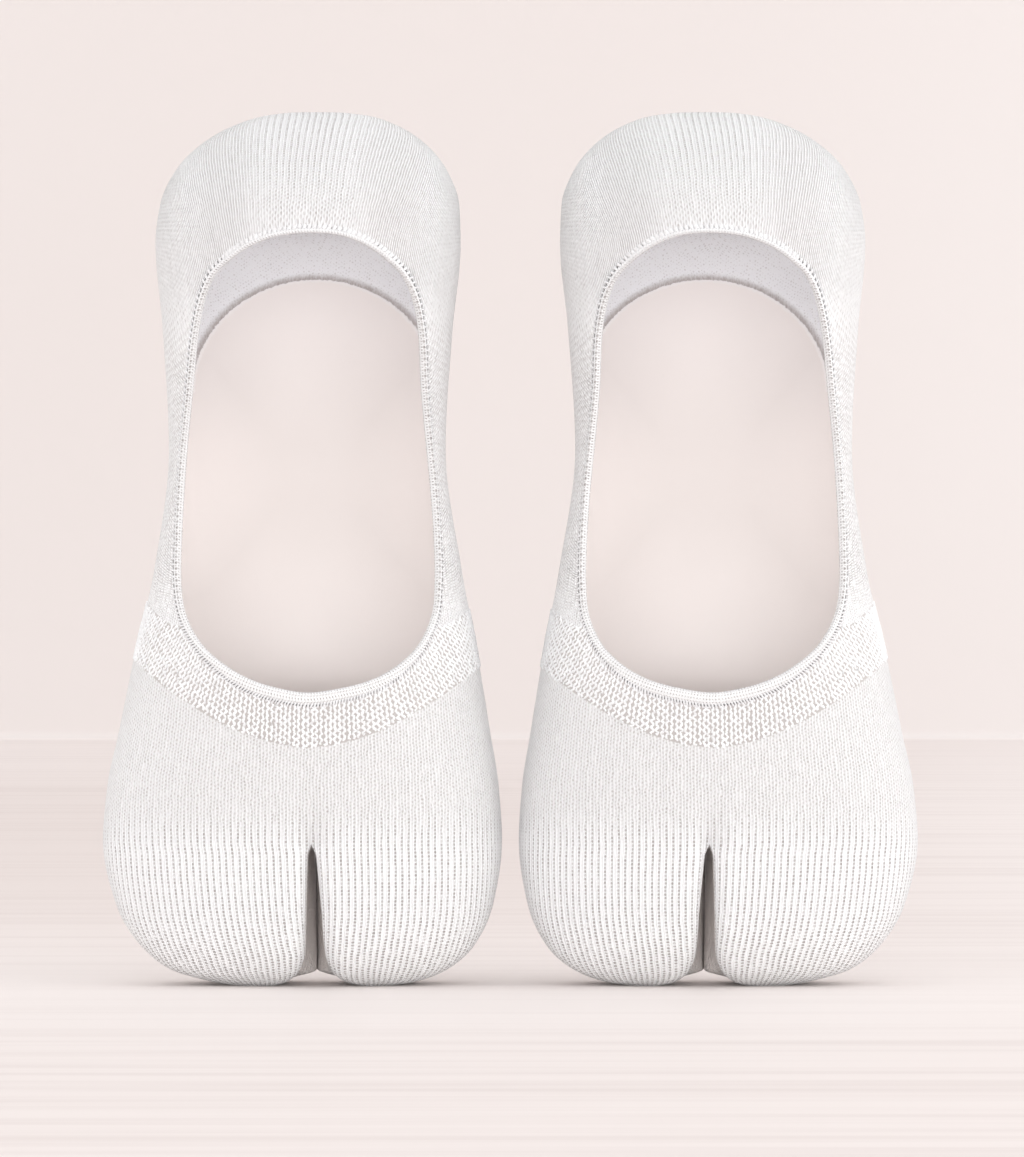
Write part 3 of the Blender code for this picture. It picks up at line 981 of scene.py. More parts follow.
    def hatch(self, points: Array) -> Array:
        """How clearly the heel's sides show fine lines along the wales."""
        aside = self.heel_lines_aside(self.aside(points))
        return self.heel_lines(points[..., 2]) * aside * self.facing(points)

    def pale(self, points: Array) -> Array:
        """Painted light: how far the knit is lightened, least over the heel's middle, which the
        lamps light most.

        Args:
            points: Points of the knit.

        Returns:
            The share of painted lightening: most at the toe tips, the sides and the heel's top.
        """
        aside, height = self.aside(points), points[..., 2]
        toe = 0.46 * (1 - smooth_step(33, 47, height)) + 0.3 * (1 - smooth_step(6, 22, height))
        heel = -0.14 * smooth_step(182, 192, height) * (1 - smooth_step(16, 34, aside))
        heel = heel + 0.10 * smooth_step(206, 213, height)
        inset = 18 + 5 * smooth_step(150, 185, height)
        side = smooth_step(84, 100, height) * smooth_step(0, 14, aside - inset)
        side = side * (0.75 + 0.15 * smooth_step(140, 165, height))
        front = 0.12 + toe + heel + side
        back = 0.45 + toe * 0.5
        return back + (front - back) * self.facing(points)

    def slit(self, points: Array) -> Array:
        """1 on the walls that face each other across the toe split, where a warm painted shade
        goes.

        Args:
            points: Points of the knit.

        Returns:
            The share of split wall.
        """
        near = 1 - self.split_near_off(np.abs(points[..., 0] - self.foot.split_at))
        front = self.foot.columns["front"](self.foot.station(points[..., 2]))
        inside = self.split_inside(points[..., 1] - front)
        return near * inside * (1 - self.split_top_off(points[..., 2]))

    def band_floor(self, points: Array) -> Array:
        """The height of the lace band's lower edge."""
        return self.band_front + self.band_rise * self.aside(points) ** self.band_power

    def band_top(self, points: Array) -> Array:
        """The height of the lace band's upper edge where the opening doesn't cut it."""
        out = self.band_top_aside(self.aside(points))
        return self.band_edge_top + (self.band_side_top - self.band_edge_top) * out

    def band(self, points: Array) -> Array:
        """How far inside the lace band each point lies.

        Args:
            points: Points of the knit.

        Returns:
            The least way to its edges.
        """
        height = points[..., 2]
        below, above = height - self.band_floor(points), self.band_top(points) - height
        return np.minimum(np.minimum(below, above), self.band_back - points[..., 1])

    def zones(self, points: Array) -> dict[str, Array]:
        """The numbers that the knit's material reads, by name."""
        parts = (self.toe_rib, self.heel_rib, self.strap, self.hatch, self.pale, self.slit)
        return {part.__name__: part(points) for part in parts}


# ---- nodes and materials


class Wire:
    """A socket that can be used in sums like a number."""

    def __init__(self, nodes: "Nodes", socket: Socket) -> None:
        """Keeps the tree's nodes and the socket."""
        self.nodes = nodes
        self.socket = socket

    def __add__(self, other: Term) -> "Wire":
        """Sum."""
        return self.nodes.maths("ADD", self, other)

    def __radd__(self, other: Term) -> "Wire":
        """Sum with a number on the left."""
        return self.nodes.maths("ADD", other, self)

    def __sub__(self, other: Term) -> "Wire":
        """Difference."""
        return self.nodes.maths("SUBTRACT", self, other)

    def __rsub__(self, other: Term) -> "Wire":
        """Difference from a number."""
        return self.nodes.maths("SUBTRACT", other, self)

    def __mul__(self, other: Term) -> "Wire":
        """Product."""
        return self.nodes.maths("MULTIPLY", self, other)

    def __rmul__(self, other: Term) -> "Wire":
        """Product with a number on the left."""
        return self.nodes.maths("MULTIPLY", other, self)

    def __truediv__(self, other: Term) -> "Wire":
        """Quotient."""
        return self.nodes.maths("DIVIDE", self, other)

    def __rtruediv__(self, other: Term) -> "Wire":
        """Quotient of a number."""
        return self.nodes.maths("DIVIDE", other, self)

    def __neg__(self) -> "Wire":
        """Negative."""
        return self.nodes.maths("MULTIPLY", self, -1.0)


class Nodes:
    """The nodes of one tree."""

    def __init__(self, tree: bpy.types.NodeTree) -> None:
        """Keeps the tree."""
        self.tree = tree

    def node(self, kind: str, inputs: Optional[dict[Any, Any]] = None, **settings: Any
             ) -> bpy.types.Node:
        """Makes a node.

        Args:
            kind: The node's type.
            inputs: Values, wires or sockets by the input's identifier or number.
            settings: The node's properties, which are set first.

        Returns:
            The node.
        """
        made = self.tree.nodes.new(kind)
        for name, value in settings.items():
            setattr(made, name, value)
        by_identifier = {socket.identifier: socket for socket in made.inputs}
        for key, value in (inputs or {}).items():
            socket = made.inputs[key] if isinstance(key, int) else by_identifier[key]
            self.give(socket, value)
        return made

    def give(self, socket: Socket, value: Any) -> None:
        """Links a wire or a socket to an input, or sets its value.

        Args:
            socket: The input.
            value: What it gets.
        """
        source = value.socket if isinstance(value, Wire) else value
        if isinstance(source, Socket):
            self.tree.links.new(source, socket)
        else:
            socket.default_value = source

    def wire(self, kind: str, inputs: Optional[dict[Any, Any]] = None,
             output: Union[int, str] = 0, **settings: Any) -> Wire:
        """One output of a new node, by its number or name."""
        return Wire(self, self.node(kind, inputs, **settings).outputs[output])

    def maths(self, operation: str, *terms: Term) -> Wire:
        """One step of arithmetic."""
        return self.wire("ShaderNodeMath", dict(enumerate(terms)), operation=operation)


class Graph(Nodes):
    """The nodes of one material."""

    def __init__(self, name: str) -> None:
        """Starts a material that has only its shader.

        Args:
            name: The material's name.
        """
        self.material = bpy.data.materials.new(name)
        self.material.use_nodes = True
        super().__init__(self.material.node_tree)
        self.tree.nodes.clear()
        self.shader = self.node("ShaderNodeBsdfPrincipled")
        self.node("ShaderNodeOutputMaterial", {"Surface": self.shader.outputs["BSDF"]})

    def step(self, value: Wire, low: float, high: float) -> Wire:
        """A smooth rise from 0 at low to 1 at high."""
        return self.wire("ShaderNodeMapRange", {
            "Value": value, "From Min": low, "From Max": high}, interpolation_type="SMOOTHSTEP")

    def mix(self, share: Term, first: Term, second: Term) -> Wire:
        """The first value where share is 0, the second where it is 1."""
        return share * (second - first) + first

    def folded(self, value: Wire) -> Wire:
        """How far a number's fraction is from a half, which is most at whole numbers."""
        return self.maths("ABSOLUTE", self.maths("FRACT", value) - 0.5)

    def attribute(self, name: str) -> Wire:
        """A number stored on the piece."""
        return self.wire("ShaderNodeAttribute", output="Fac", attribute_name=name)

    def split(self, vector: Wire) -> tuple[Wire, Wire, Wire]:
        """The three numbers of a vector."""
        made = self.node("ShaderNodeSeparateXYZ", {0: vector})
        return tuple(Wire(self, made.outputs[k]) for k in range(3))

    def place(self) -> Wire:
        """The piece's own coordinates, in metres."""
        return self.wire("ShaderNodeTexCoord", output="Object")

    def knit(self) -> tuple[Wire, Wire]:
        """The wale and the course."""
        return self.split(self.wire("ShaderNodeUVMap", uv_map=KNIT_UV))[:2]

    def noise(self, scale: float, detail: float = 2.0, stretch: Triple = (1, 1, 1)) -> Wire:
        """Soft noise on the piece's own coordinates, about 0.5 on average.

        Args:
            scale: How fine it is.
            detail: How many finer layers it has.
            stretch: What the coordinates are multiplied by.

        Returns:
            The noise.
        """
        scaled = self.wire("ShaderNodeVectorMath", {0: self.place(), 1: stretch},
                           operation="MULTIPLY")
        return self.wire("ShaderNodeTexNoise", {
            "Vector": scaled, "Scale": scale, "Detail": detail})

    def dots(self, across: Wire, along: Wire, half_width: Term, half_height: Term) -> Wire:
        """Small soft-edged holes."""
        x, y = across / half_width, along / half_height
        return 1 - self.step(x * x + y * y, 0.35, 1.35)

    def colour(self, share: Term, first: Union[Wire, Triple], second: Union[Wire, Triple]) -> Wire:
        """A colour between two.

        Args:
            share: 0 for the first, 1 for the second.
            first: A colour or a wire that carries one.
            second: A colour or a wire that carries one.

        Returns:
            The mixed colour.
        """
        ends = [c if isinstance(c, Wire) else (*c, 1.0) for c in (first, second)]
        return self.wire("ShaderNodeMix", {0: share, 6: ends[0], 7: ends[1]}, output=2,
                         data_type="RGBA")

    def bump(self, height: Wire, distance: float, strength: float = 1.0) -> None:
        """Gives the shader a relief; distance is in metres."""
        self.set(Normal=self.wire("ShaderNodeBump", {
            "Height": height, "Distance": distance, "Strength": strength}))

    def set(self, **values: Any) -> None:
        """Sets or links the shader's sockets; underscores stand for spaces."""
        for name, value in values.items():
            self.give(self.shader.inputs[name.replace("_", " ")], value)


@dataclass(frozen=True)
class Finish:
    """A material whose colour and relief come from its own paint method."""

    name: str

    def material(self) -> Material:
        """Builds the material.

        Returns:
            The material.
        """
        graph = Graph(self.name)
        self.paint(graph)
        return graph.material

    def paint(self, g: Graph) -> None:
        """Adds the finish's nodes to its graph."""
        raise NotImplementedError


@dataclass(frozen=True)
class KnitFinish(Finish):
    """Plain, ribbed and lace knit of the outer face: stitches as relief, with painted shade and
    painted light.
    """

    name: str = "white_cotton_knit"
    yarn: Triple = (0.93, 0.94, 0.955)
    groove_shade: Triple = (0.70, 0.695, 0.70)
    hole_shade: Triple = (0.46, 0.42, 0.41)
    lace_hole_shade: Triple = (0.47, 0.44, 0.43)
    slit: Triple = (0.98, 0.91, 0.875)
    painted_highlight: Triple = (0.985, 0.985, 0.99)
    cloud: Triple = (0.82, 0.81, 0.80)
    relief: float = 0.00030
    wander: float = 0.13

    def paint(self, g: Graph) -> None:
        """Paints by the knit coordinates and zones of the piece.

        Args:
            g: The material's graph.
        """
        wale, course = g.knit()
        wobble, sway = g.noise(420, 1), g.noise(300, 1, (1.3, 0.9, 1.1))
        names = ("toe_rib", "heel_rib", "band", "hatch", "strap", "pale", "slit")
        toe, heel, band, lined, strap, pale, slit = (g.attribute(name) for name in names)
        rib = g.maths("MAXIMUM", toe, heel)
        _, _, z = g.split(g.place())
        low = 1 - g.step(z, 0.004, 0.024)
        wander = g.mix(rib, self.wander * 4, self.wander) + low * 0.25
        wander = g.mix(lined, wander, self.wander * 1.5)
        nearest = g.maths("FLOOR", wale + 0.5)
        course = course + (sway - 0.5) * (wander * 2.2) + g.maths("FRACT", nearest * 0.5) * low
        wale = wale + (wobble - 0.5) * wander
        across, phase, uneven = g.folded(wale), g.folded(course), g.noise(900, 0)
        # Painted shade: dark dots in the holes between and inside the wales, and dark lines along
        # courses and wales, where shade falls between the stitches.
        between_wales = g.dots(0.5 - across, phase, g.mix(heel, 0.17, 0.19) + low * 0.09,
                               g.mix(rib, 0.32, 0.41) - low * 0.05)
        inside_wale = g.dots(across, 0.5 - phase, 0.15, 0.32)
        strong = (g.mix(rib, 0.55, g.mix(heel, 0.85, 0.70)) + low * 0.2) * (0.1 + uneven * 1.6)
        strong = strong * (1 - lined * 0.4)
        weak = g.mix(rib, 0.50, 0.10) * (0.1 + uneven * 1.6) * (1 - lined * 0.95)
        lines = g.step(g.folded(wale * 2), 0.2, 0.45) * lined * (0.15 + uneven * 0.7)
        hatch = g.step(phase, 0.22, 0.46) * strap * (0.1 + uneven * 1.1)
        dark = g.maths("MAXIMUM", between_wales * strong, inside_wale * weak)
        dark = g.maths("MAXIMUM", g.maths("MAXIMUM", dark, hatch), lines)
        legs = 0.5 - 0.5 * g.maths("COSINE", across * (4 * math.pi))
        slant = 0.5 + 0.5 * g.maths("COSINE", (course + across * 1.6) * (2 * math.pi))
        ridge = g.mix(rib, 0.60, 1.0) * legs * (0.62 + slant * 0.38)
        # Painted shade: the grooves between the stitch legs are darker than the ridges, and the
        # pale mask lightens them again.
        base = g.colour(ridge * 0.6 + pale, self.groove_shade, self.yarn)
        # Painted highlight: where the pale mask is high, the knit turns almost white.
        base = g.colour(g.step(pale, 0.45, 0.95) * 0.8, base, self.painted_highlight)
        base = g.colour(g.maths("MINIMUM", dark, 1.0), base, self.hole_shade)
        # Painted shade: a dark ground between the lace threads stands in for the shaded inside seen
        # through the holes.
        inside = g.step(band + (g.noise(700, 1) - 0.5) * 0.9, -0.15, 0.35)
        base = g.colour(inside, base, self.lace_hole_shade)
        base = g.colour((g.noise(60, 3) - 0.5) * 0.10 + 0.03, base, self.cloud)
        # Painted shade: a warm tint on the walls of the toe split colours the shade deep in it.
        base = g.colour(slit, base, self.slit)
        g.bump((ridge - dark * 0.9) * (1 - inside), self.relief)
        g.set(Base_Color=base, Roughness=0.92, Sheen_Weight=0.8, Specular_IOR_Level=0.25)


@dataclass(frozen=True)
class LiningFinish(Finish):
    """The inside of the sock: blush plated sole with painted light towards its ends, neutral heel,
    and a painted shadow line and painted highlight rim between them.
    """

    name: str = "plated_inside"
    field_colour: Triple = (0.80, 0.75, 0.73)
    painted_light_ends: Triple = (0.96, 0.905, 0.885)
    heel_colour: Triple = (0.95, 0.955, 0.98)
    line: Triple = (0.42, 0.37, 0.36)
    rim_highlight: Triple = (0.97, 0.94, 0.93)
    middle: float = 128.0
    centre: Pair = (49.3, 148.7)
    radii: Pair = (30.8, 28.5)
    flare: float = 1.3

    def paint(self, g: Graph) -> None:
        """Paints round an arch on the inside of the sole.

        Args:
            g: The material's graph.
        """
        wale, course = g.knit()
        x, _, z = g.split(g.place())
        rise = z * (1 / MM) - self.centre[1]
        below = g.maths("MAXIMUM", -rise, 0.0)
        across = (g.maths("ABSOLUTE", x) * (1 / MM) - self.centre[0]) / (
            below * self.flare + self.radii[0])
        upward = g.maths("MAXIMUM", rise, 0.0) / self.radii[1]
        reach = g.maths("SQRT", across * across + upward * upward)
        away = (reach - 1) * self.radii[1] + (g.noise(1100, 2) - 0.5) * 0.7
        heel = g.step(away, -0.12, 0.22)
        offset = g.maths("FRACT", g.maths("FLOOR", wale * 2) * 0.5)
        speck = g.dots(g.folded(wale * 2), g.folded(course + offset), 0.36, 0.30)
        speck = speck * g.step(g.noise(2600, 0), 0.47, 0.68)
        # Painted shadow: a soft dark line just outside the arch, like a contact shadow; the same
        # dark colour also darkens the fine specks.
        shade = g.step(away, 0.0, 0.3) * (1 - g.step(away, 0.3, 2.2)) * (
            0.75 + g.step(g.noise(1600, 1, (2.5, 1.0, 0.6)), 0.35, 0.6) * 0.25)
        inner = g.colour(shade * 0.9, self.heel_colour, self.line)
        inner = g.colour(speck * 0.32, inner, self.line)
        # Painted highlight: a light rim just inside the arch, below the painted shadow line.
        rim_highlight = g.step(away, -0.8, -0.3) * (1 - heel)
        # Painted light: the sole's inside is lighter towards its ends and sides, where shade falls
        # inside the sock, and darker in its lit middle.
        ends = g.step(g.maths("ABSOLUTE", z * (1 / MM) - self.middle), 5.0, 46.0)
        beside = g.maths("ABSOLUTE", g.maths("ABSOLUTE", x) * (1 / MM) - self.centre[0])
        ends = g.maths("MAXIMUM", ends, g.step(beside, 8.0, 34.0) * 0.75)
        sole = g.colour(ends, self.field_colour, self.painted_light_ends)
        sole = g.colour(rim_highlight * 0.8, sole, self.rim_highlight)
        fuzz = g.noise(1500, 2) * 0.6 + g.noise(1300, 1, (0.5, 1.0, 2.2)) * 0.6
        g.bump((fuzz - speck * 0.5) * (0.06 + heel * 0.94), 0.0002, 0.6)
        g.set(Base_Color=g.colour(heel, sole, inner), Roughness=0.95, Specular_IOR_Level=0.2)


@dataclass(frozen=True)
class YarnFinish(Finish):
    """Loose yarn of the lace threads and the joining stitches."""

    yarn: Triple = (0.90, 0.91, 0.92)
    shade: Triple = (0.80, 0.80, 0.81)
    grain: float = 2400.0
    relief: float = 0.00010

    def paint(self, g: Graph) -> None:
        """Paints fine fibre relief and slight clouds.

        Args:
            g: The material's graph.
        """
        fibre, cloud = g.noise(self.grain, 2), g.noise(500, 2)
        base = g.colour(g.step(fibre * 0.5 + cloud * 0.5, 0.35, 0.6), self.shade, self.yarn)
        g.bump(fibre, self.relief, 0.6)
        g.set(Base_Color=base, Roughness=0.92, Specular_IOR_Level=0.25)


@dataclass(frozen=True)
class WeltFinish(Finish):
    """Dense elastic welt: short stitches round a rolled edge."""

    name: str = "elastic_welt"
    yarn: Triple = (0.83, 0.83, 0.835)
    shade: Triple = (0.42, 0.39, 0.38)
    seam_gap_shade: Triple = (0.30, 0.27, 0.26)
    heel_edge_shade: Triple = (0.74, 0.735, 0.745)

    def paint(self, g: Graph) -> None:
        """Paints by the welt's own coordinates: along the edge and across it.

        Args:
            g: The material's graph.
        """
        along, across = g.knit()
        along = along + (g.noise(500, 1) - 0.5) * 0.3
        dots = g.dots(0.5 - g.folded(along), g.folded(across), 0.22, 0.26)
        dots = dots * (0.15 + g.noise(800, 1) * 1.1)
        base = g.colour(dots, self.yarn, self.shade)
        _, _, z = g.split(g.place())
        # Painted shade: dark dashes along the straps' welt stand in for the shade in the seam gap
        # beside it.
        strap = g.step(z, 0.090, 0.098) * (1 - g.step(z, 0.172, 0.180))
        seam_gap_shade = g.dots(g.folded(along * 0.5), 1 - g.attribute("dash_row"), 0.30, 0.65)
        seam_gap_shade = seam_gap_shade * strap * (0.15 + g.noise(800, 1) * 0.8)
        base = g.colour(g.maths("MINIMUM", seam_gap_shade, 1.0), base, self.seam_gap_shade)
        # Darker yarn along the heel's edge, partly painted shade that tones down the light its
        # rolled edge catches.
        base = g.colour(g.step(z, 0.170, 0.182) * 0.7, base, self.heel_edge_shade)
        lobes = 0.5 + 0.5 * g.maths("COSINE", (along + across * 0.5) * (2 * math.pi))
        g.bump(lobes - dots, 0.00016)
        g.set(Base_Color=base, Roughness=0.9, Specular_IOR_Level=0.25)


@dataclass(frozen=True)
class FloorFinish(Finish):
    """Pale floor boards with faint streaks across the view, a soft sheen, and painted light and
    shade round the socks.
    """

    name: str = "pale_floor"
    pale: Triple = (0.785, 0.72, 0.70)
    streak: Triple = (0.71, 0.64, 0.62)
    near: Triple = (0.85, 0.795, 0.775)
    right: Triple = (0.87, 0.815, 0.80)
    far: Triple = (0.715, 0.64, 0.615)

    def paint(self, g: Graph) -> None:
        """Paints soft patches and streaks, painted light to the right and by the socks, and painted
        shade behind them.

        Args:
            g: The material's graph.
        """
        fine = g.noise(9, 4, (0.35, 9.0, 1.0))
        wide = g.noise(3, 2, (0.5, 4.0, 1.0))
        base = g.colour(g.step(fine * 0.65 + wide * 0.35, 0.42, 0.66), self.pale, self.streak)
        x, y, _ = g.split(g.place())
        # Painted light: the floor is lighter to the right and towards the wall.
        base = g.colour(g.maths("MAXIMUM", g.step(x, 0.05, 0.35) * 0.8, g.step(y, 0.9, 2.1) * 0.6),
                        base, self.right)
        # Painted shadow: the floor is darker behind the socks, on their left.
        behind = g.step(y, 0.0, 0.5) * (1 - g.step(y, 0.7, 1.9))
        base = g.colour(behind * (1 - g.step(x, -0.02, 0.2)) * 0.65, base, self.far)
        # Painted light: a lighter patch just in front of and under the socks softens their contact
        # shadow.
        close = (1 - g.step(-y, 0.0, 0.22)) * (1 - g.step(y, -0.05, 0.3))
        base = g.colour(close * 0.7, base, self.near)
        g.set(Base_Color=base, Roughness=0.6, Specular_IOR_Level=0.2)


@dataclass(frozen=True)
class WallFinish(Finish):
    """Plain pinkish wall, with painted light that makes it lighter to the right."""

    name: str = "plain_wall"
    pale: Triple = (0.775, 0.722, 0.705)
    light: Triple = (0.82, 0.777, 0.763)

    def paint(self, g: Graph) -> None:
        """Paints very soft clouds and painted light towards the right.

        Args:
            g: The material's graph.
        """
        x, _, z = g.split(g.place())
        # Painted light: the wall turns lighter towards the right.
        side = g.step(x, 0.05, 0.55) * 0.9 + g.step(g.noise(1.2, 2), 0.3, 0.7) * 0.3
        base = g.colour(side, self.pale, self.light)
        g.set(Base_Color=base, Roughness=0.95, Specular_IOR_Level=0.1)


# ---- meshes


def linked(name: str, data: Union[bpy.types.Mesh, bpy.types.Light, bpy.types.Camera]
           ) -> Piece:
    """Makes an object at the origin and puts it in the scene.

    Args:
        name: The object's name.
        data: What it shows.

    Returns:
        The object.
    """
    made = bpy.data.objects.new(name, data)
    bpy.context.scene.collection.objects.link(made)
    return made


def store(mesh: bpy.types.Mesh, name: str, values: Array) -> None:
    """Stores a number or a vector on each point of a mesh.

    Args:
        mesh: The mesh.
        name: The attribute's name.
        values: One number or one vector a point.
    """
    kind, key = ("FLOAT", "value") if values.ndim == 1 else ("FLOAT_VECTOR", "vector")
    stored = mesh.attributes.new(name, kind, "POINT")
    stored.data.foreach_set(key, values.astype(np.float32).ravel())


def placed(points: Array, side: Side) -> Array:
    """Millimetres from the mirror plane turned into metres on the sock's side.

    Args:
        points: Distance from the mirror plane, depth and height.
        side: Which sock.

    Returns:
        The points in the scene.
    """
    out = np.array(points, float) * MM
    out[:, 0] *= side.value
    out[:, 1] += DEPTH_SHIFT * MM
    return out


def make_object(name: str, points: Array, faces: list[tuple[int, ...]],
                uv: list[list[Pair]], numbers: dict[str, Array], materials: list[Material],
                slots: Array, side: Side) -> Piece:
    """Makes a smooth mesh object at the origin, its faces pointing outwards.

    Args:
        name: The piece's name.
        points: Points in metres.
        faces: Corner numbers of each face, in the order that points outwards on the left sock.
        uv: Each face's corner coordinates.
        numbers: Numbers to store on the points, by name.
        materials: The piece's materials.
        slots: Each face's material number.
        side: Which sock; the right one's faces are turned round, since it is mirrored.

    Returns:
        The object.
    """
    if side is Side.RIGHT:
        faces, uv = ([around[::-1] for around in group] for group in (faces, uv))
    mesh = bpy.data.meshes.new(name)
    mesh.from_pydata([tuple(p) for p in points], [], [tuple(int(i) for i in f) for f in faces])
    for material in materials:
        mesh.materials.append(material)
    mesh.polygons.foreach_set("material_index", slots.astype(np.int32))
    mesh.polygons.foreach_set("use_smooth", np.ones(len(faces), bool))
    layer = mesh.uv_layers.new(name=KNIT_UV)
    corners = np.array([pair for around in uv for pair in around], np.float32)
    layer.uv.foreach_set("vector", corners.ravel())
    for key, values in numbers.items():
        store(mesh, key, values)
    mesh.update()
    return linked(name, mesh)


@dataclass
class SurfaceSheet:
    """Points, faces and knit coordinates of one face of the cloth."""

    points: list[Array] = field(default_factory=list)
    faces: list[tuple[int, ...]] = field(default_factory=list)
    uv: list[list[Pair]] = field(default_factory=list)
    count: int = 0
    least_lean: float = 0.75

    def add(self, points: Array) -> Array:
        """Adds points.

        Args:
            points: The points, in any grid.

        Returns:
            Their numbers.
        """
        points = np.asarray(points, float).reshape(-1, 3)
        index = np.arange(self.count, self.count + len(points))
        self.points.append(points)
        self.count += len(points)
        return index

    def quads(self, index: Array, wale: Array, course: Array, keep: Array, flip: bool = False,
              lean: Optional[Array] = None, turn: Optional[Array] = None) -> None:
        """Fills a grid of points with four-cornered faces.

        Args:
            index: Point numbers, rows by columns.
            wale: The wale at each of them.
            course: The course at each of them.
            keep: Which cells get a face.
            flip: Whether the faces are turned round.
            lean: How far the wales have leant at each point.
            turn: 1 or -1 for each cell, the way its wales lean.
        """
        corners = [(slice(None, -1), slice(None, -1)), (slice(None, -1), slice(1, None)),
                   (slice(1, None), slice(1, None)), (slice(1, None), slice(None, -1))]
        if flip:
            corners = corners[::-1]
        faces, across, along = (np.stack([grid[c][keep] for c in corners], axis=1)
                                for grid in (index, wale, course))
        if lean is not None:
            across = across - np.stack([(turn * lean[c])[keep] for c in corners], axis=1)
        self.faces += [tuple(face) for face in faces.tolist()]
        self.uv += [list(zip(a, b)) for a, b in zip(across.tolist(), along.tolist())]

    def cap(self, ring: list[int], pitch: float, course: float, flip: bool) -> None:
        """Fills a flat ring with rungs from one side to the other.

        Args:
            ring: Point numbers round the ring.
            pitch: Distance between wales.
            course: Height of a course.
            flip: Whether the faces are turned round.
        """
        places = self.all_points()[ring]
        low, high = 0, len(ring) - 1
        while high - low >= 2:
            rung = [low, low + 1, high - 1, high] if high - low > 2 else [low, low + 1, high]
            rung = rung[::-1] if flip else rung
            self.faces.append(tuple(int(ring[k]) for k in rung))
            self.uv.append([(places[k, 0] / pitch, places[k, 1] / course) for k in rung])
            low, high = low + 1, high - 1

    def all_points(self) -> Array:
        """Every point so far."""
        return np.vstack(self.points)

    def normals(self) -> Array:
        """Outward directions that keep a wall's thickness at bends.

        Returns:
            A direction for each point, a little longer than one where faces meet at an angle.
        """
        points = self.all_points()
        total = np.zeros(points.shape)
        face_normals, owners = [], []
        for size in (3, 4):
            group = np.array([face for face in self.faces if len(face) == size])
            if not len(group):
                continue
            a, b, c, d = (points[group[:, k]] for k in (0, 1, 2, size - 1))
            cross = np.cross(c - a, d - b) if size == 4 else np.cross(b - a, c - a)
            normal = cross / np.maximum(np.linalg.norm(cross, axis=1, keepdims=True), 1e-12)
            for k in range(size):
                np.add.at(total, group[:, k], normal)
                face_normals.append(normal)
                owners.append(group[:, k])
        total /= np.maximum(np.linalg.norm(total, axis=1, keepdims=True), 1e-12)
        lean, seen = np.zeros(len(points)), np.zeros(len(points))
        for normal, owner in zip(face_normals, owners):
            np.add.at(lean, owner, np.sum(normal * total[owner], axis=1))
            np.add.at(seen, owner, 1)
        return total / np.clip(lean / np.maximum(seen, 1), self.least_lean, 1)[:, None]


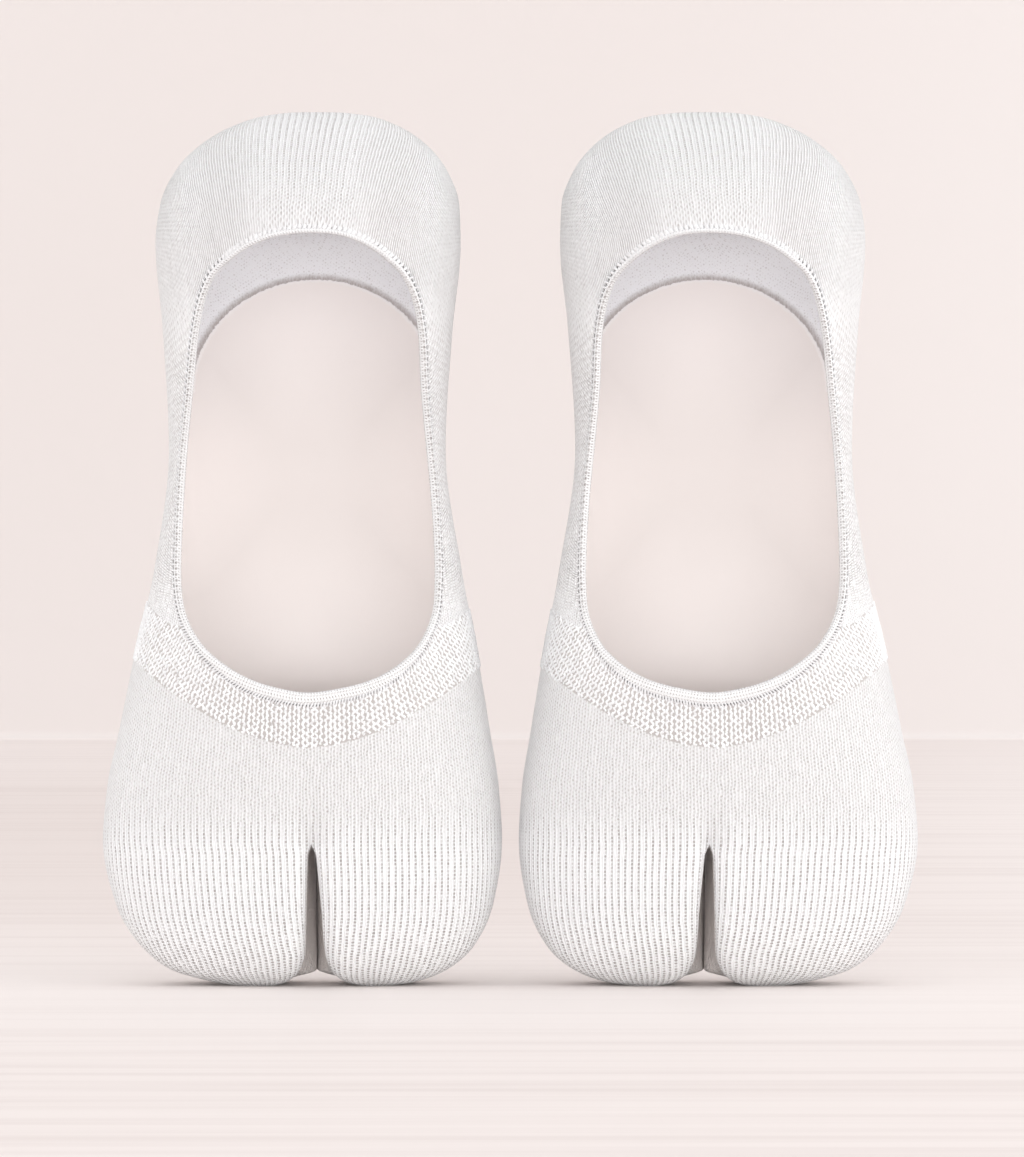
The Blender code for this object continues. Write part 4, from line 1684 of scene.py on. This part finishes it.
@dataclass
class KnitShell:
    """The knit of one sock: outer face, inner face and the edge between them."""

    side: Side
    foot: Foot
    grid: RingGrid
    plan: KnitPlan
    outer_finish: Material
    inner_finish: Material
    wall: float = 1.2
    split_steps: int = 6
    split_wales: int = 21
    toe_rows: int = 42
    toe_pitch: float = 1.75
    stride: int = 3
    parallel: float = 0.72
    pinned: int = 5
    rim_uv: Pair = (0.25, 0.25)
    outside_band: float = -9.0

    def face(self, stride: int) -> tuple[SurfaceSheet, list[int]]:
        """The outer face on every point of the grid, or on each stride-th one.

        Args:
            stride: How many fine cells each face spans.

        Returns:
            The sheet and the point numbers round the opening.
        """
        grid, foot = self.grid, self.foot
        sheet = SurfaceSheet()
        share = grid.share[::stride, ::stride]
        station = grid.station[::stride, ::stride]
        points = foot.grooved(foot.point(station, share))
        rows, columns = share.shape
        index = sheet.add(points).reshape(rows, columns)
        self.tube(sheet, index, points, share, station, stride)
        sheet.cap([int(i) for i in index[-1]], self.plan.heel_top_pitch, self.plan.course,
                  flip=False)
        half, steps = grid.half // stride, self.split_steps * grid.fineness // stride
        toes = [ToePocket(foot, outer_side, half, steps) for outer_side in (True, False)]
        line = toes[0].split_line(points[0, 0], points[0, half])
        line_index = sheet.add(line)
        for toe in toes:
            order = np.arange(half + 1) if toe.outer_side else -np.arange(half + 1) % columns
            shares = share[0, order]
            if not toe.outer_side:
                shares[1:] -= 1
            self.pocket(sheet, toe, np.append(index[0, order], line_index),
                        np.vstack([points[0, order], line]), shares, stride)
        ring = [int(index[r // stride, (c // stride) % columns])
                for r, c in grid.window_ring(grid.fineness) if r % stride == 0 and c % stride == 0]
        return sheet, ring

    def tube(self, sheet: SurfaceSheet, index: Array, points: Array, share: Array,
             station: Array, stride: int) -> None:
        """Adds the knit above the split, with the opening left out.

        Args:
            sheet: The sheet to add to.
            index: Point numbers, rows by columns.
            points: Their places.
            share: Their shares.
            station: Their stations.
            stride: How many fine cells each face spans.
        """
        grid, plan = self.grid, self.plan
        rows, columns = share.shape
        wrapped = np.hstack([index, index[:, :1]])
        closed = np.hstack([share, share[:, :1] + 1])
        closed_station = np.hstack([station, station[:, :1]])
        height = np.hstack([points[..., 2], points[:, :1, 2]])
        middle = (closed[:-1, :-1] + closed[1:, 1:]) / 2
        lap = np.floor(middle + 0.5)
        window, low = (n * grid.fineness // stride for n in (grid.window, grid.rows_front))
        high = low + grid.rows_side * grid.fineness // stride
        row, column = np.indices((rows - 1, columns))
        hole = (row >= low) & (row < high)
        hole &= (column < window) | (column >= columns - window)
        for turn in (0.0, 1.0):
            at = KnitPlace(closed - turn, closed_station, height)
            sheet.quads(wrapped, plan.wale(at), plan.row(at), keep=(lap == turn) & ~hole,
                        lean=plan.lean(at), turn=np.where(middle > turn, 1.0, -1.0))

    def pocket(self, sheet: SurfaceSheet, toe: ToePocket, start: Array, top: Array,
               shares: Array, stride: int) -> None:
        """Adds one toe pocket below the split.

        Args:
            sheet: The sheet to add to.
            toe: The pocket.
            start: Point numbers of its top ring: its round side, front to back, and the split.
            top: Their places.
            shares: The shares of the round side.
            stride: How many fine cells each face spans.
        """
        foot, plan, outer_side = self.foot, self.plan, toe.outer_side
        first = float(foot.station(foot.split_top))
        blend_from = float(foot.station(toe.blend_to))
        stations = np.linspace(first, 0.0, self.toe_rows + 1)[::stride]
        wales = shares * plan.wales
        turn = 1.0 if outer_side else -1.0
        end = wales[0] + turn * round((wales[-1] - wales[0]) * turn + self.split_wales)
        wall = wales[-1] + (end - wales[-1]) * np.linspace(0, 1, toe.split_steps + 1)[1:]
        rings, places = [start], [top]
        for station in stations[1:]:
            if station > blend_from:
                share = (first - station) / (first - blend_from)
                ring = top + (toe.ring(toe.blend_to) - top) * share
            else:
                ring = toe.ring(float(foot.columns["height"](station)))
            rings.append(sheet.add(ring))
            places.append(ring)
        index = np.array([np.append(ring, ring[0]) for ring in rings])
        course = np.tile(plan.courses(stations)[:, None], (1, index.shape[1]))
        sides = np.array(places)[:, :toe.half + 1]
        cells = np.tile(np.arange(index.shape[1] - 1), (len(rings) - 1, 1))
        for from_back in (False, True):
            wale = np.array([np.append(self.toe_wales(side, sides[0], wales, from_back), wall)
                             for side in sides])
            keep = (cells < toe.half // 2) != from_back
            sheet.quads(index, wale, course, keep=keep, flip=outer_side)
        cap = [int(i) for i in np.roll(rings[-1], -(toe.half // 2))]
        sheet.cap(cap, self.toe_pitch, plan.course, flip=not outer_side)

    def toe_wales(self, side: Array, top: Array, wales: Array, from_back: bool) -> Array:
        """Wale numbers of a pocket ring, mostly by the way along the cloth from the split.

        Args:
            side: The ring's round side, front to back.
            top: The same side of the ring at the split's height.
            wales: The wale numbers of that ring.
            from_back: Whether the way is measured from the back end.

        Returns:
            A wale number for each point.
        """
        order = slice(None, None, -1) if from_back else slice(None)
        ways = []
        for ring in (side, top):
            way = way_along(ring[order])
            ways.append(way - way[len(way) // self.pinned])
        level = np.interp(ways[0], ways[1], wales[order])[order]
        return wales + (level - wales) * self.parallel

    def build(self) -> Piece:
        """Builds the closed shell with its coordinates, zones and materials.

        Returns:
            The shell.
        """
        outer, ring = self.face(1)
        inner, inner_ring = self.face(self.stride)
        outer_points = outer.all_points()
        inner_points = inner.all_points() - inner.normals() * self.wall
        inner_points[:, 2] = np.maximum(inner_points[:, 2], self.wall)
        count = len(outer_points)
        faces = outer.faces + [tuple(i + count for i in face[::-1]) for face in inner.faces]
        uv = outer.uv + [corners[::-1] for corners in inner.uv]
        slots = [0] * len(outer.faces) + [1] * len(inner.faces)
        for k, a in enumerate(inner_ring):
            b = inner_ring[(k + 1) % len(inner_ring)]
            span = [ring[(k * self.stride + m) % len(ring)] for m in range(self.stride + 1)]
            faces.append(tuple(span[::-1] + [a + count, b + count]))
            uv.append([self.rim_uv] * (self.stride + 3))
            slots.append(0)
        points = np.vstack([outer_points, inner_points])
        numbers = self.plan.zones(points)
        inside = np.full(len(inner_points), self.outside_band)
        numbers["band"] = np.append(self.plan.band(outer_points), inside)
        used = np.zeros(len(points), bool)
        used[[i for face in faces for i in face]] = True
        renumber = np.cumsum(used) - 1
        faces = [tuple(int(renumber[i]) for i in face) for face in faces]
        numbers = {key: values[used] for key, values in numbers.items()}
        return make_object(
            f"{self.side.word}_knit_shell", placed(points[used], self.side), faces, uv, numbers,
            [self.outer_finish, self.inner_finish], np.array(slots), self.side)


@dataclass
class WeltRing:
    """The elastic welt round the opening."""

    side: Side
    edge: OpeningEdge
    finish: Material
    wall: float = 1.2
    proud: float = 0.3
    count: int = 800
    stitch: float = 1.45
    wales_a_stitch: float = 2.0
    course: float = 0.85
    points_a_course: int = 4
    lobe: float = 0.06
    lobe_slant: float = 0.4
    lip: float = 0.24
    dash_points: tuple[int, int] = (3, 5)
    strap: Rise = Rise(88, 96)
    strap_off: Rise = Rise(172, 180)
    outline: tuple[Triple, ...] = (
        (0.0, -0.45, 0), (0.0, 0.0, 0), (0.0, 0.45, 0), (0.08, 0.78, 0), (0.24, 1.0, 0),
        (0.5, 1.04, 0), (0.76, 1.0, 0), (0.92, 0.78, 0), (1.0, 0.45, 0), (1.0, 0.22, 1),
        (1.0, -0.45, 1), (0.78, -1.0, 0), (0.22, -1.0, 0))

    def build(self) -> Piece:
        """Builds the ring, its upper face slightly lobed by the stitches.

        Returns:
            The ring.
        """
        places, normals, away = self.edge.directions(self.edge.path(self.count))
        heights = self.edge.heights(places)
        core = places - normals * self.wall / 2
        thick = self.wall / 2 + self.proud
        lip = self.lip * (1 - self.strap(places[:, 2]) * (1 - self.strap_off(places[:, 2])))
        stitches = round(way_along(np.vstack([places, places[:1]]))[-1] / self.stitch)
        turn = np.arange(self.count) / self.count * stitches
        points = []
        for share, level, beyond in self.outline:
            wave = 0.5 + 0.5 * np.cos(2 * np.pi * (turn + share * self.lobe_slant))
            lobe = 1 - self.lobe * wave * (level > 0.5)
            points.append(core + away * (heights * share + lip * beyond)[:, None]
                          + normals * (thick * level * lobe)[:, None])
        rows = np.stack(points, axis=1)
        size = len(self.outline)
        faces, uv = [], []
        for k in range(self.count):
            m = (k + 1) % self.count
            for j in range(size):
                n = (j + 1) % size
                faces.append((k * size + j, k * size + n, m * size + n, m * size + j))
                rise = heights[k] / self.course / self.points_a_course
                low, high = j * rise, (j + 1) * rise
                start, end = (i * stitches / self.count * self.wales_a_stitch for i in (k, k + 1))
                uv.append([(start, low), (start, high), (end, high), (end, low)])
        dashes = np.zeros((self.count, size))
        dashes[:, slice(*self.dash_points)] = 1.0
        return make_object(
            f"{self.side.word}_welt_ring", placed(rows.reshape(-1, 3), self.side), faces, uv,
            {"dash_row": dashes.ravel()}, [self.finish], np.zeros(len(faces)), self.side)


# ---- geometry nodes


class NodeTree(Nodes):
    """A geometry node tree with named inputs."""

    def __init__(self, name: str) -> None:
        """Starts an empty tree that takes and gives geometry.

        Args:
            name: The tree's name.
        """
        super().__init__(bpy.data.node_groups.new(name, "GeometryNodeTree"))
        self.sockets: dict[str, str] = {}
        for way in ("INPUT", "OUTPUT"):
            self.tree.interface.new_socket("Geometry", in_out=way,
                                           socket_type="NodeSocketGeometry")
        self.enter = self.node("NodeGroupInput")
        self.leave = self.node("NodeGroupOutput")

    def size(self, name: str, kind: str = "NodeSocketFloat") -> Wire:
        """Adds a named input.

        Args:
            name: The input's name.
            kind: Its type.

        Returns:
            Its wire inside the tree.
        """
        made = self.tree.interface.new_socket(name, in_out="INPUT", socket_type=kind)
        self.sockets[name] = made.identifier
        return Wire(self, self.enter.outputs[name])

    def stored(self, name: str) -> Wire:
        """A vector stored on the points."""
        return self.wire("GeometryNodeInputNamedAttribute", {"Name": name},
                         data_type="FLOAT_VECTOR")

    def tube(self, curve: Wire, radius: Wire, sides: Union[Wire, int],
             thickness: Optional[Wire] = None) -> Wire:
        """A closed tube round a curve.

        Args:
            curve: The curve.
            radius: The tube's radius.
            sides: How many sides it has.
            thickness: What the radius is multiplied by along the curve.

        Returns:
            The tube.
        """
        profile = self.wire("GeometryNodeCurvePrimitiveCircle", {
            "Radius": radius, "Resolution": sides}, mode="RADIUS")
        scale = {} if thickness is None else {"Scale": thickness}
        return self.wire("GeometryNodeCurveToMesh", {
            "Curve": curve, "Profile Curve": profile, "Fill Caps": True, **scale})

    def finish(self, geometry: Wire) -> None:
        """Realizes the instances, gives them the material and ends the tree.

        Args:
            geometry: What the tree has made.
        """
        whole = self.wire("GeometryNodeRealizeInstances", {"Geometry": geometry})
        dressed = self.wire("GeometryNodeSetMaterial", {
            "Geometry": whole, "Material": self.size("Material", "NodeSocketMaterial")})
        self.give(self.leave.inputs[0], dressed)

    def apply(self, carrier: Piece, name: str, values: dict[str, Any]) -> Piece:
        """Runs the tree on an object and turns the result into a plain mesh.

        Args:
            carrier: The object the tree starts from, which is used up.
            name: The finished piece's name.
            values: The named inputs.

        Returns:
            The finished piece.
        """
        modifier = carrier.modifiers.new("tree", "NODES")
        modifier.node_group = self.tree
        for key, value in values.items():
            modifier[self.sockets[key]] = value
        bpy.context.view_layer.update()
        graph = bpy.context.evaluated_depsgraph_get()
        mesh = bpy.data.meshes.new_from_object(carrier.evaluated_get(graph), depsgraph=graph)
        mesh.name = name
        carrier.modifiers.remove(modifier)
        bpy.data.objects.remove(carrier)
        mesh.polygons.foreach_set("use_smooth", np.ones(len(mesh.polygons), bool))
        return linked(name, mesh)


def thread_tree() -> NodeTree:
    """A tree that turns lines into round threads.

    Returns:
        The tree, with the inputs Radius, Sides, Unevenness and Material.
    """
    tree = NodeTree("threads")
    radius, sides = tree.size("Radius"), tree.size("Sides", "NodeSocketInt")
    uneven = tree.size("Unevenness")
    curve = tree.wire("GeometryNodeMeshToCurve", {"Mesh": tree.enter.outputs[0]})
    thickness = tree.wire("FunctionNodeRandomValue", {
        "Min_001": 1.0 - uneven, "Max_001": 1.0 + uneven, "Seed": THREAD_SEED}, output=1,
        data_type="FLOAT")
    tree.finish(tree.tube(curve, radius, sides, thickness))
    return tree


def stitch_tree() -> NodeTree:
    """A tree that sets a bent stitch on each point, along the point's own directions.

    Returns:
        The tree, with the inputs Length, Rise, Radius and Material.
    """
    tree = NodeTree("joining_stitches")
    length, rise, radius = (tree.size(n) for n in ("Length", "Rise", "Radius"))
    bends, sides = 4, 5
    least, most = (0.85, 0.85, 0.9), (1.1, 1.15, 1.1)
    half = length * 0.5
    bow = tree.wire("GeometryNodeCurveQuadraticBezier", {
        "Resolution": bends, "Start": tree.wire("ShaderNodeCombineXYZ", {0: -half}),
        "Middle": tree.wire("ShaderNodeCombineXYZ", {2: rise}),
        "End": tree.wire("ShaderNodeCombineXYZ", {0: half})})
    turned = tree.wire("FunctionNodeAxesToRotation", {
        "Primary Axis": tree.stored("out"), "Secondary Axis": tree.stored("along")},
        primary_axis="Z", secondary_axis="X")
    scale = tree.wire("FunctionNodeRandomValue", {0: least, 1: most, "Seed": STITCH_SEED},
                      data_type="FLOAT_VECTOR")
    sized = tree.wire("ShaderNodeVectorMath", {0: scale, 1: tree.stored("wide")},
                      operation="MULTIPLY")
    tree.finish(tree.wire("GeometryNodeInstanceOnPoints", {
        "Points": tree.enter.outputs[0], "Instance": tree.tube(bow, radius, sides),
        "Rotation": turned, "Scale": sized}))
    return tree


@dataclass
class LaceBand:
    """The lace band over the instep: zigzag threads that meet round elongated holes."""

    side: Side
    foot: Foot
    edge: OpeningEdge
    plan: KnitPlan
    finish: Material
    period: float = 1.55
    points_per_period: int = 6
    heights: Pair = (55.0, 101.0)
    spacing: Pair = (1.08, 1.28)
    wider: Rise = Rise(14.0, 46.0)
    radius: float = 0.36
    touch: float = 0.92
    least_swing: float = 0.05
    sides: int = 4
    unevenness: float = 0.3
    lift: float = -0.06
    reach: float = 103.0
    jitter: float = 0.095
    height_jitter: float = 0.08
    margin: Pair = (0.1, 0.25)
    least_points: int = 3
    lean: float = 0.5
    leaning: Rise = Rise(8, 44)
    level: float = 75.0
    seed: int = 5

    def lines(self) -> tuple[Array, list[tuple[int, int]]]:
        """Points and links of all threads, on the outer face.

        Returns:
            The points in millimetres and the pairs of points that each link joins.
        """
        random = np.random.default_rng(self.seed)
        foot, plan = self.foot, self.plan
        edge = self.edge.knit_edge(self.edge.path(600))
        edge_share = plan.signed(edge[:, 0])
        away = [self.spacing[0] / 2]
        while away[-1] < self.reach:
            away.append(away[-1] + self.gap_at(away[-1]))
        girth = float(plan.girth(foot.station(self.level)))
        points: list[Array] = []
        links: list[tuple[int, int]] = []
        total = 0
        for k, place in enumerate([-a for a in away[::-1]] + away):
            spacing = self.gap_at(abs(place))
            heights = np.arange(*self.heights, self.period / self.points_per_period)
            wave = np.cos(2 * np.pi * heights / self.period + np.pi * (k % 2))
            share = self.leant(place, heights) / girth
            before, after = (self.leant(place + d, heights) for d in (-0.5, 0.5))
            spacing = spacing * (after - before)
            swing = np.maximum(spacing / 2 - self.touch * self.radius, self.least_swing) * wave
            swing = swing / girth + random.normal(0, self.jitter, len(heights)) * spacing / girth
            uneven = random.normal(0, self.height_jitter, len(heights))
            shares, stations = share + swing, foot.station(heights + uneven)
            places = foot.point(stations, shares)
            inside = plan.band(places) > random.normal(*self.margin)
            inside &= self.below_edge(shares, stations, edge_share, edge[:, 1])
            steps = np.flatnonzero(inside)
            runs = np.split(steps, np.flatnonzero(np.diff(steps) > 1) + 1)
            chosen = max(runs, key=len)
            if len(chosen) < self.least_points:
                continue
            normal = foot.normal(stations[chosen], shares[chosen])
            points.append(places[chosen] + normal * self.lift)
            links += [(total + i, total + i + 1) for i in range(len(chosen) - 1)]
            total += len(chosen)
        return np.vstack(points), links

    def leant(self, place: float, heights: Array) -> Array:
        """Where a thread runs: at the sides the threads lean towards the opening."""
        slope = self.lean * float(self.leaning(abs(place))) * math.copysign(1, place)
        return place - slope * (heights - self.level)

    def gap_at(self, away: float) -> float:
        """Distance between threads this far round from the instep's middle."""
        near, far = self.spacing
        return near + (far - near) * float(self.wider(away))

    @staticmethod
    def below_edge(share: Array, station: Array, edge_share: Array, edge_station: Array) -> Array:
        """Which places lie below the opening's front edge, or beside the opening.

        Args:
            share: Their shares.
            station: Their stations.
            edge_share: Shares of the knit's edge, from the middle of the front.
            edge_station: Its stations.

        Returns:
            True for each place that does.
        """
        count = len(edge_share)
        low = np.concatenate([np.arange(count // 4 + 1), np.arange(-(count // 4), 0)])
        order = np.argsort(edge_share[low])
        shares, stations = edge_share[low][order], edge_station[low][order]
        limit = np.interp(share, shares, stations, left=1e9, right=1e9)
        return station < limit

    def build(self, tree: NodeTree) -> Piece:
        """Builds the threads.

        Args:
            tree: The thread tree.

        Returns:
            The band.
        """
        points, links = self.lines()
        mesh = bpy.data.meshes.new("lace_lines")
        mesh.from_pydata([tuple(p) for p in placed(points, self.side)], links, [])
        return tree.apply(linked("lace_lines", mesh), f"{self.side.word}_lace_band", {
            "Radius": self.radius * MM, "Sides": self.sides, "Unevenness": self.unevenness,
            "Material": self.finish})


@dataclass
class JoiningStitches:
    """The row of small stitches that joins the knit to the welt."""

    side: Side
    edge: OpeningEdge
    finish: Material
    pitches: Triple = (0.72, 1.45, 1.18)
    length: float = 1.25
    rise: float = 0.42
    radius: float = 0.25
    widths: Triple = (1.1, 1.1, 2.5)
    rises: Triple = (0.8, 1.0, 0.35)
    strap: Rise = Rise(90, 100)
    heel: Rise = Rise(172, 180)
    slant: float = 0.35
    slant_jitter: float = 0.08
    way_points: int = 5000
    seed: int = 3

    def along_edge(self, heights: Array, values: Triple) -> Array:
        """A size that changes along the edge.

        Args:
            heights: Where along it.
            values: The size at the instep's edge, on the straps and at the heel's edge.

        Returns:
            The size there.
        """
        front, strap, heel = values
        low, high = self.strap(heights), self.heel(heights)
        return front + (strap - front) * low + (heel - strap) * high

    def build(self, tree: NodeTree) -> Piece:
        """Builds the stitches.

        Args:
            tree: The stitch tree.

        Returns:
            The row of stitches.
        """
        dense = self.edge.path(self.way_points)
        places, _, _ = self.edge.directions(dense)
        steps = np.linalg.norm(np.roll(places, -1, axis=0) - places, axis=1)
        count = np.cumsum(steps / self.along_edge(places[:, 2], self.pitches))
        wanted = np.arange(int(count[-1])) * count[-1] / int(count[-1])
        pairs = dense[np.searchsorted(count, wanted)]
        places, _, _ = self.edge.directions(pairs)
        width = self.along_edge(places[:, 2], self.widths)
        tall = self.along_edge(places[:, 2], self.rises)
        seam = self.edge.moved(pairs, self.edge.heights(places) + self.edge.seam_gap / 2)
        places, normals, away = self.edge.directions(seam)
        random = np.random.default_rng(self.seed)
        slant = self.slant + random.normal(0, self.slant_jitter, (len(places), 1))
        heading = away + self.edge.along(places) * slant
        mirror = np.array([self.side.value, 1, 1])
        mesh = bpy.data.meshes.new("stitch_points")
        mesh.from_pydata([tuple(p) for p in placed(places, self.side)], [], [])
        store(mesh, "out", normals * mirror)
        store(mesh, "along", heading * mirror)
        store(mesh, "wide", np.stack([np.ones(len(width)), width, tall], axis=1))
        return tree.apply(linked("stitch_points", mesh), f"{self.side.word}_joining_stitches", {
            "Length": self.length * MM, "Rise": self.rise * MM, "Radius": self.radius * MM,
            "Material": self.finish})


# ---- the socks


@dataclass(frozen=True)
class Finishes:
    """The materials of the pair."""

    knit: Material
    lining: Material
    welt: Material
    yarn: Material
    seam: Material


@dataclass
class Sock:
    """One sock: knit shell, lace band, welt and joining stitches."""

    side: Side
    foot: Foot
    edge: OpeningEdge
    grid: RingGrid
    plan: KnitPlan
    finishes: Finishes
    threads: NodeTree
    stitches: NodeTree
    flat: Pair = (0.240, 0.235)
    flat_area: float = 0.0424

    def build(self) -> list[Piece]:
        """Returns:
            The pieces.
        """
        word = self.side.word
        shell = KnitShell(self.side, self.foot, self.grid, self.plan,
                          self.finishes.knit, self.finishes.lining).build()
        welt = WeltRing(self.side, self.edge, self.finishes.welt).build()
        lace = LaceBand(self.side, self.foot, self.edge, self.plan,
                        self.finishes.yarn).build(self.threads)
        row = JoiningStitches(self.side, self.edge, self.finishes.seam).build(self.stitches)
        for piece, slot in ((shell, "sock_knit"), (lace, "sock_knit"), (welt, "sock_welt"),
                            (row, "sock_welt")):
            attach(piece, BODY)
        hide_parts(f"{word}_sock_knit")
        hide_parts(f"{word}_sock_welt")
        return [shell, welt, lace, row]


# ---- stage


@dataclass
class Stage:
    """Floor, wall, lights and camera."""

    wall_at: float = 2.13
    cove: float = 0.006
    width: float = 4.0
    near: float = -2.5
    top: float = 2.6
    cove_steps: int = 12
    camera_away: float = 1.4
    camera_at: Triple = (0.0004, 0.0075, 0.1016)
    frame_side: float = 0.28925
    sensor: float = 36.0
    surround: float = 1.10

    def sweep(self, finish_floor: Material, finish_wall: Material) -> None:
        """Builds the floor and the wall as one sweep with a small cove between them.

        Args:
            finish_floor: The floor's material, up to the cove's middle.
            finish_wall: The wall's material.
        """
        turns = np.linspace(0, np.pi / 2, self.cove_steps + 1)
        line = [(self.near, 0.0)]
        line += [(self.wall_at - self.cove + self.cove * math.sin(t),
                  self.cove - self.cove * math.cos(t)) for t in turns]
        line += [(self.wall_at, self.top)]
        middle = self.cove_steps // 2
        for name, part, finish in (("floor", line[:middle + 1], finish_floor),
                                   ("wall", line[middle:], finish_wall)):
            points = [(x, y, z) for y, z in part for x in (-self.width, self.width)]
            faces = [(2 * k, 2 * k + 1, 2 * k + 3, 2 * k + 2) for k in range(len(part) - 1)]
            mesh = bpy.data.meshes.new(name)
            mesh.from_pydata(points, [], faces)
            mesh.materials.append(finish)
            mesh.polygons.foreach_set("use_smooth", np.ones(len(faces), bool))
            linked(name, mesh)

    def lamp(self, name: str, place: Triple, aim: Triple, size: Pair,
             power: float) -> None:
        """Adds a soft lamp.

        Args:
            name: Its name.
            place: Where it stands.
            aim: The point it faces.
            size: Its width and height.
            power: Its power in watts.
        """
        data = bpy.data.lights.new(name, "AREA")
        data.shape, data.energy = "RECTANGLE", power
        data.size, data.size_y = size
        made = linked(name, data)
        made.location = place
        made.rotation_euler = (Vector(aim) - Vector(place)).to_track_quat("-Z", "Y").to_euler()

    def lights(self) -> None:
        """Adds an even pale surround and soft lamps in front."""
        world = bpy.data.worlds.new("surround")
        world.use_nodes = True
        around = world.node_tree.nodes["Background"].inputs
        around["Color"].default_value = (1.0, 1.0, 1.0, 1.0)
        around["Strength"].default_value = self.surround
        bpy.context.scene.world = world
        self.lamp("front_lamp", (0.1, -1.6, 0.08), (0, 0, 0.08), (2.2, 0.13), 8.0)
        self.lamp("low_lamp", (0.0, -1.1, 0.022), (0, 0, 0.02), (1.4, 0.03), 0.5)
        self.lamp("side_lamp", (1.9, -0.6, 0.6), (0, 0, 0.12), (1.0, 0.9), 11.0)
        self.lamp("left_lamp", (-1.9, -0.4, 0.7), (0, 0, 0.14), (0.9, 0.9), 4.4)

    def camera(self) -> None:
        """Adds the camera, level and square to the openings."""
        data = bpy.data.cameras.new("camera")
        data.sensor_width, data.sensor_fit = self.sensor, "AUTO"
        data.lens = self.sensor * self.camera_away / self.frame_side
        made = linked("camera", data)
        x, y, z = self.camera_at
        made.location = (x, y - self.camera_away, z)
        made.rotation_euler = (math.pi / 2, 0.0, 0.0)
        bpy.context.scene.camera = made

    def build(self) -> None:
        """Builds the whole stage."""
        self.sweep(FloorFinish().material(), WallFinish().material())
        self.lights()
        self.camera()
        bpy.context.scene.view_settings.view_transform = "Standard"


def main() -> None:
    """Builds the stage and both socks."""
    logging.basicConfig(level=logging.INFO, format="%(name)s: %(message)s")
    Stage().build()
    foot = Foot()
    edge = OpeningEdge(foot)
    grid = RingGrid(foot, edge)
    plan = KnitPlan(foot)
    finishes = Finishes(KnitFinish().material(), LiningFinish().material(),
                        WeltFinish().material(), YarnFinish("white_yarn").material(),
                        YarnFinish("seam_yarn", (0.77, 0.77, 0.78), (0.68, 0.67, 0.68)).material())
    threads, stitches = thread_tree(), stitch_tree()
    for side in Side:
        for piece in Sock(side, foot, edge, grid, plan, finishes, threads, stitches).build():
            LOG.info("%s: %d faces", piece.name, len(piece.data.polygons))


if __name__ == "__main__":
    main()
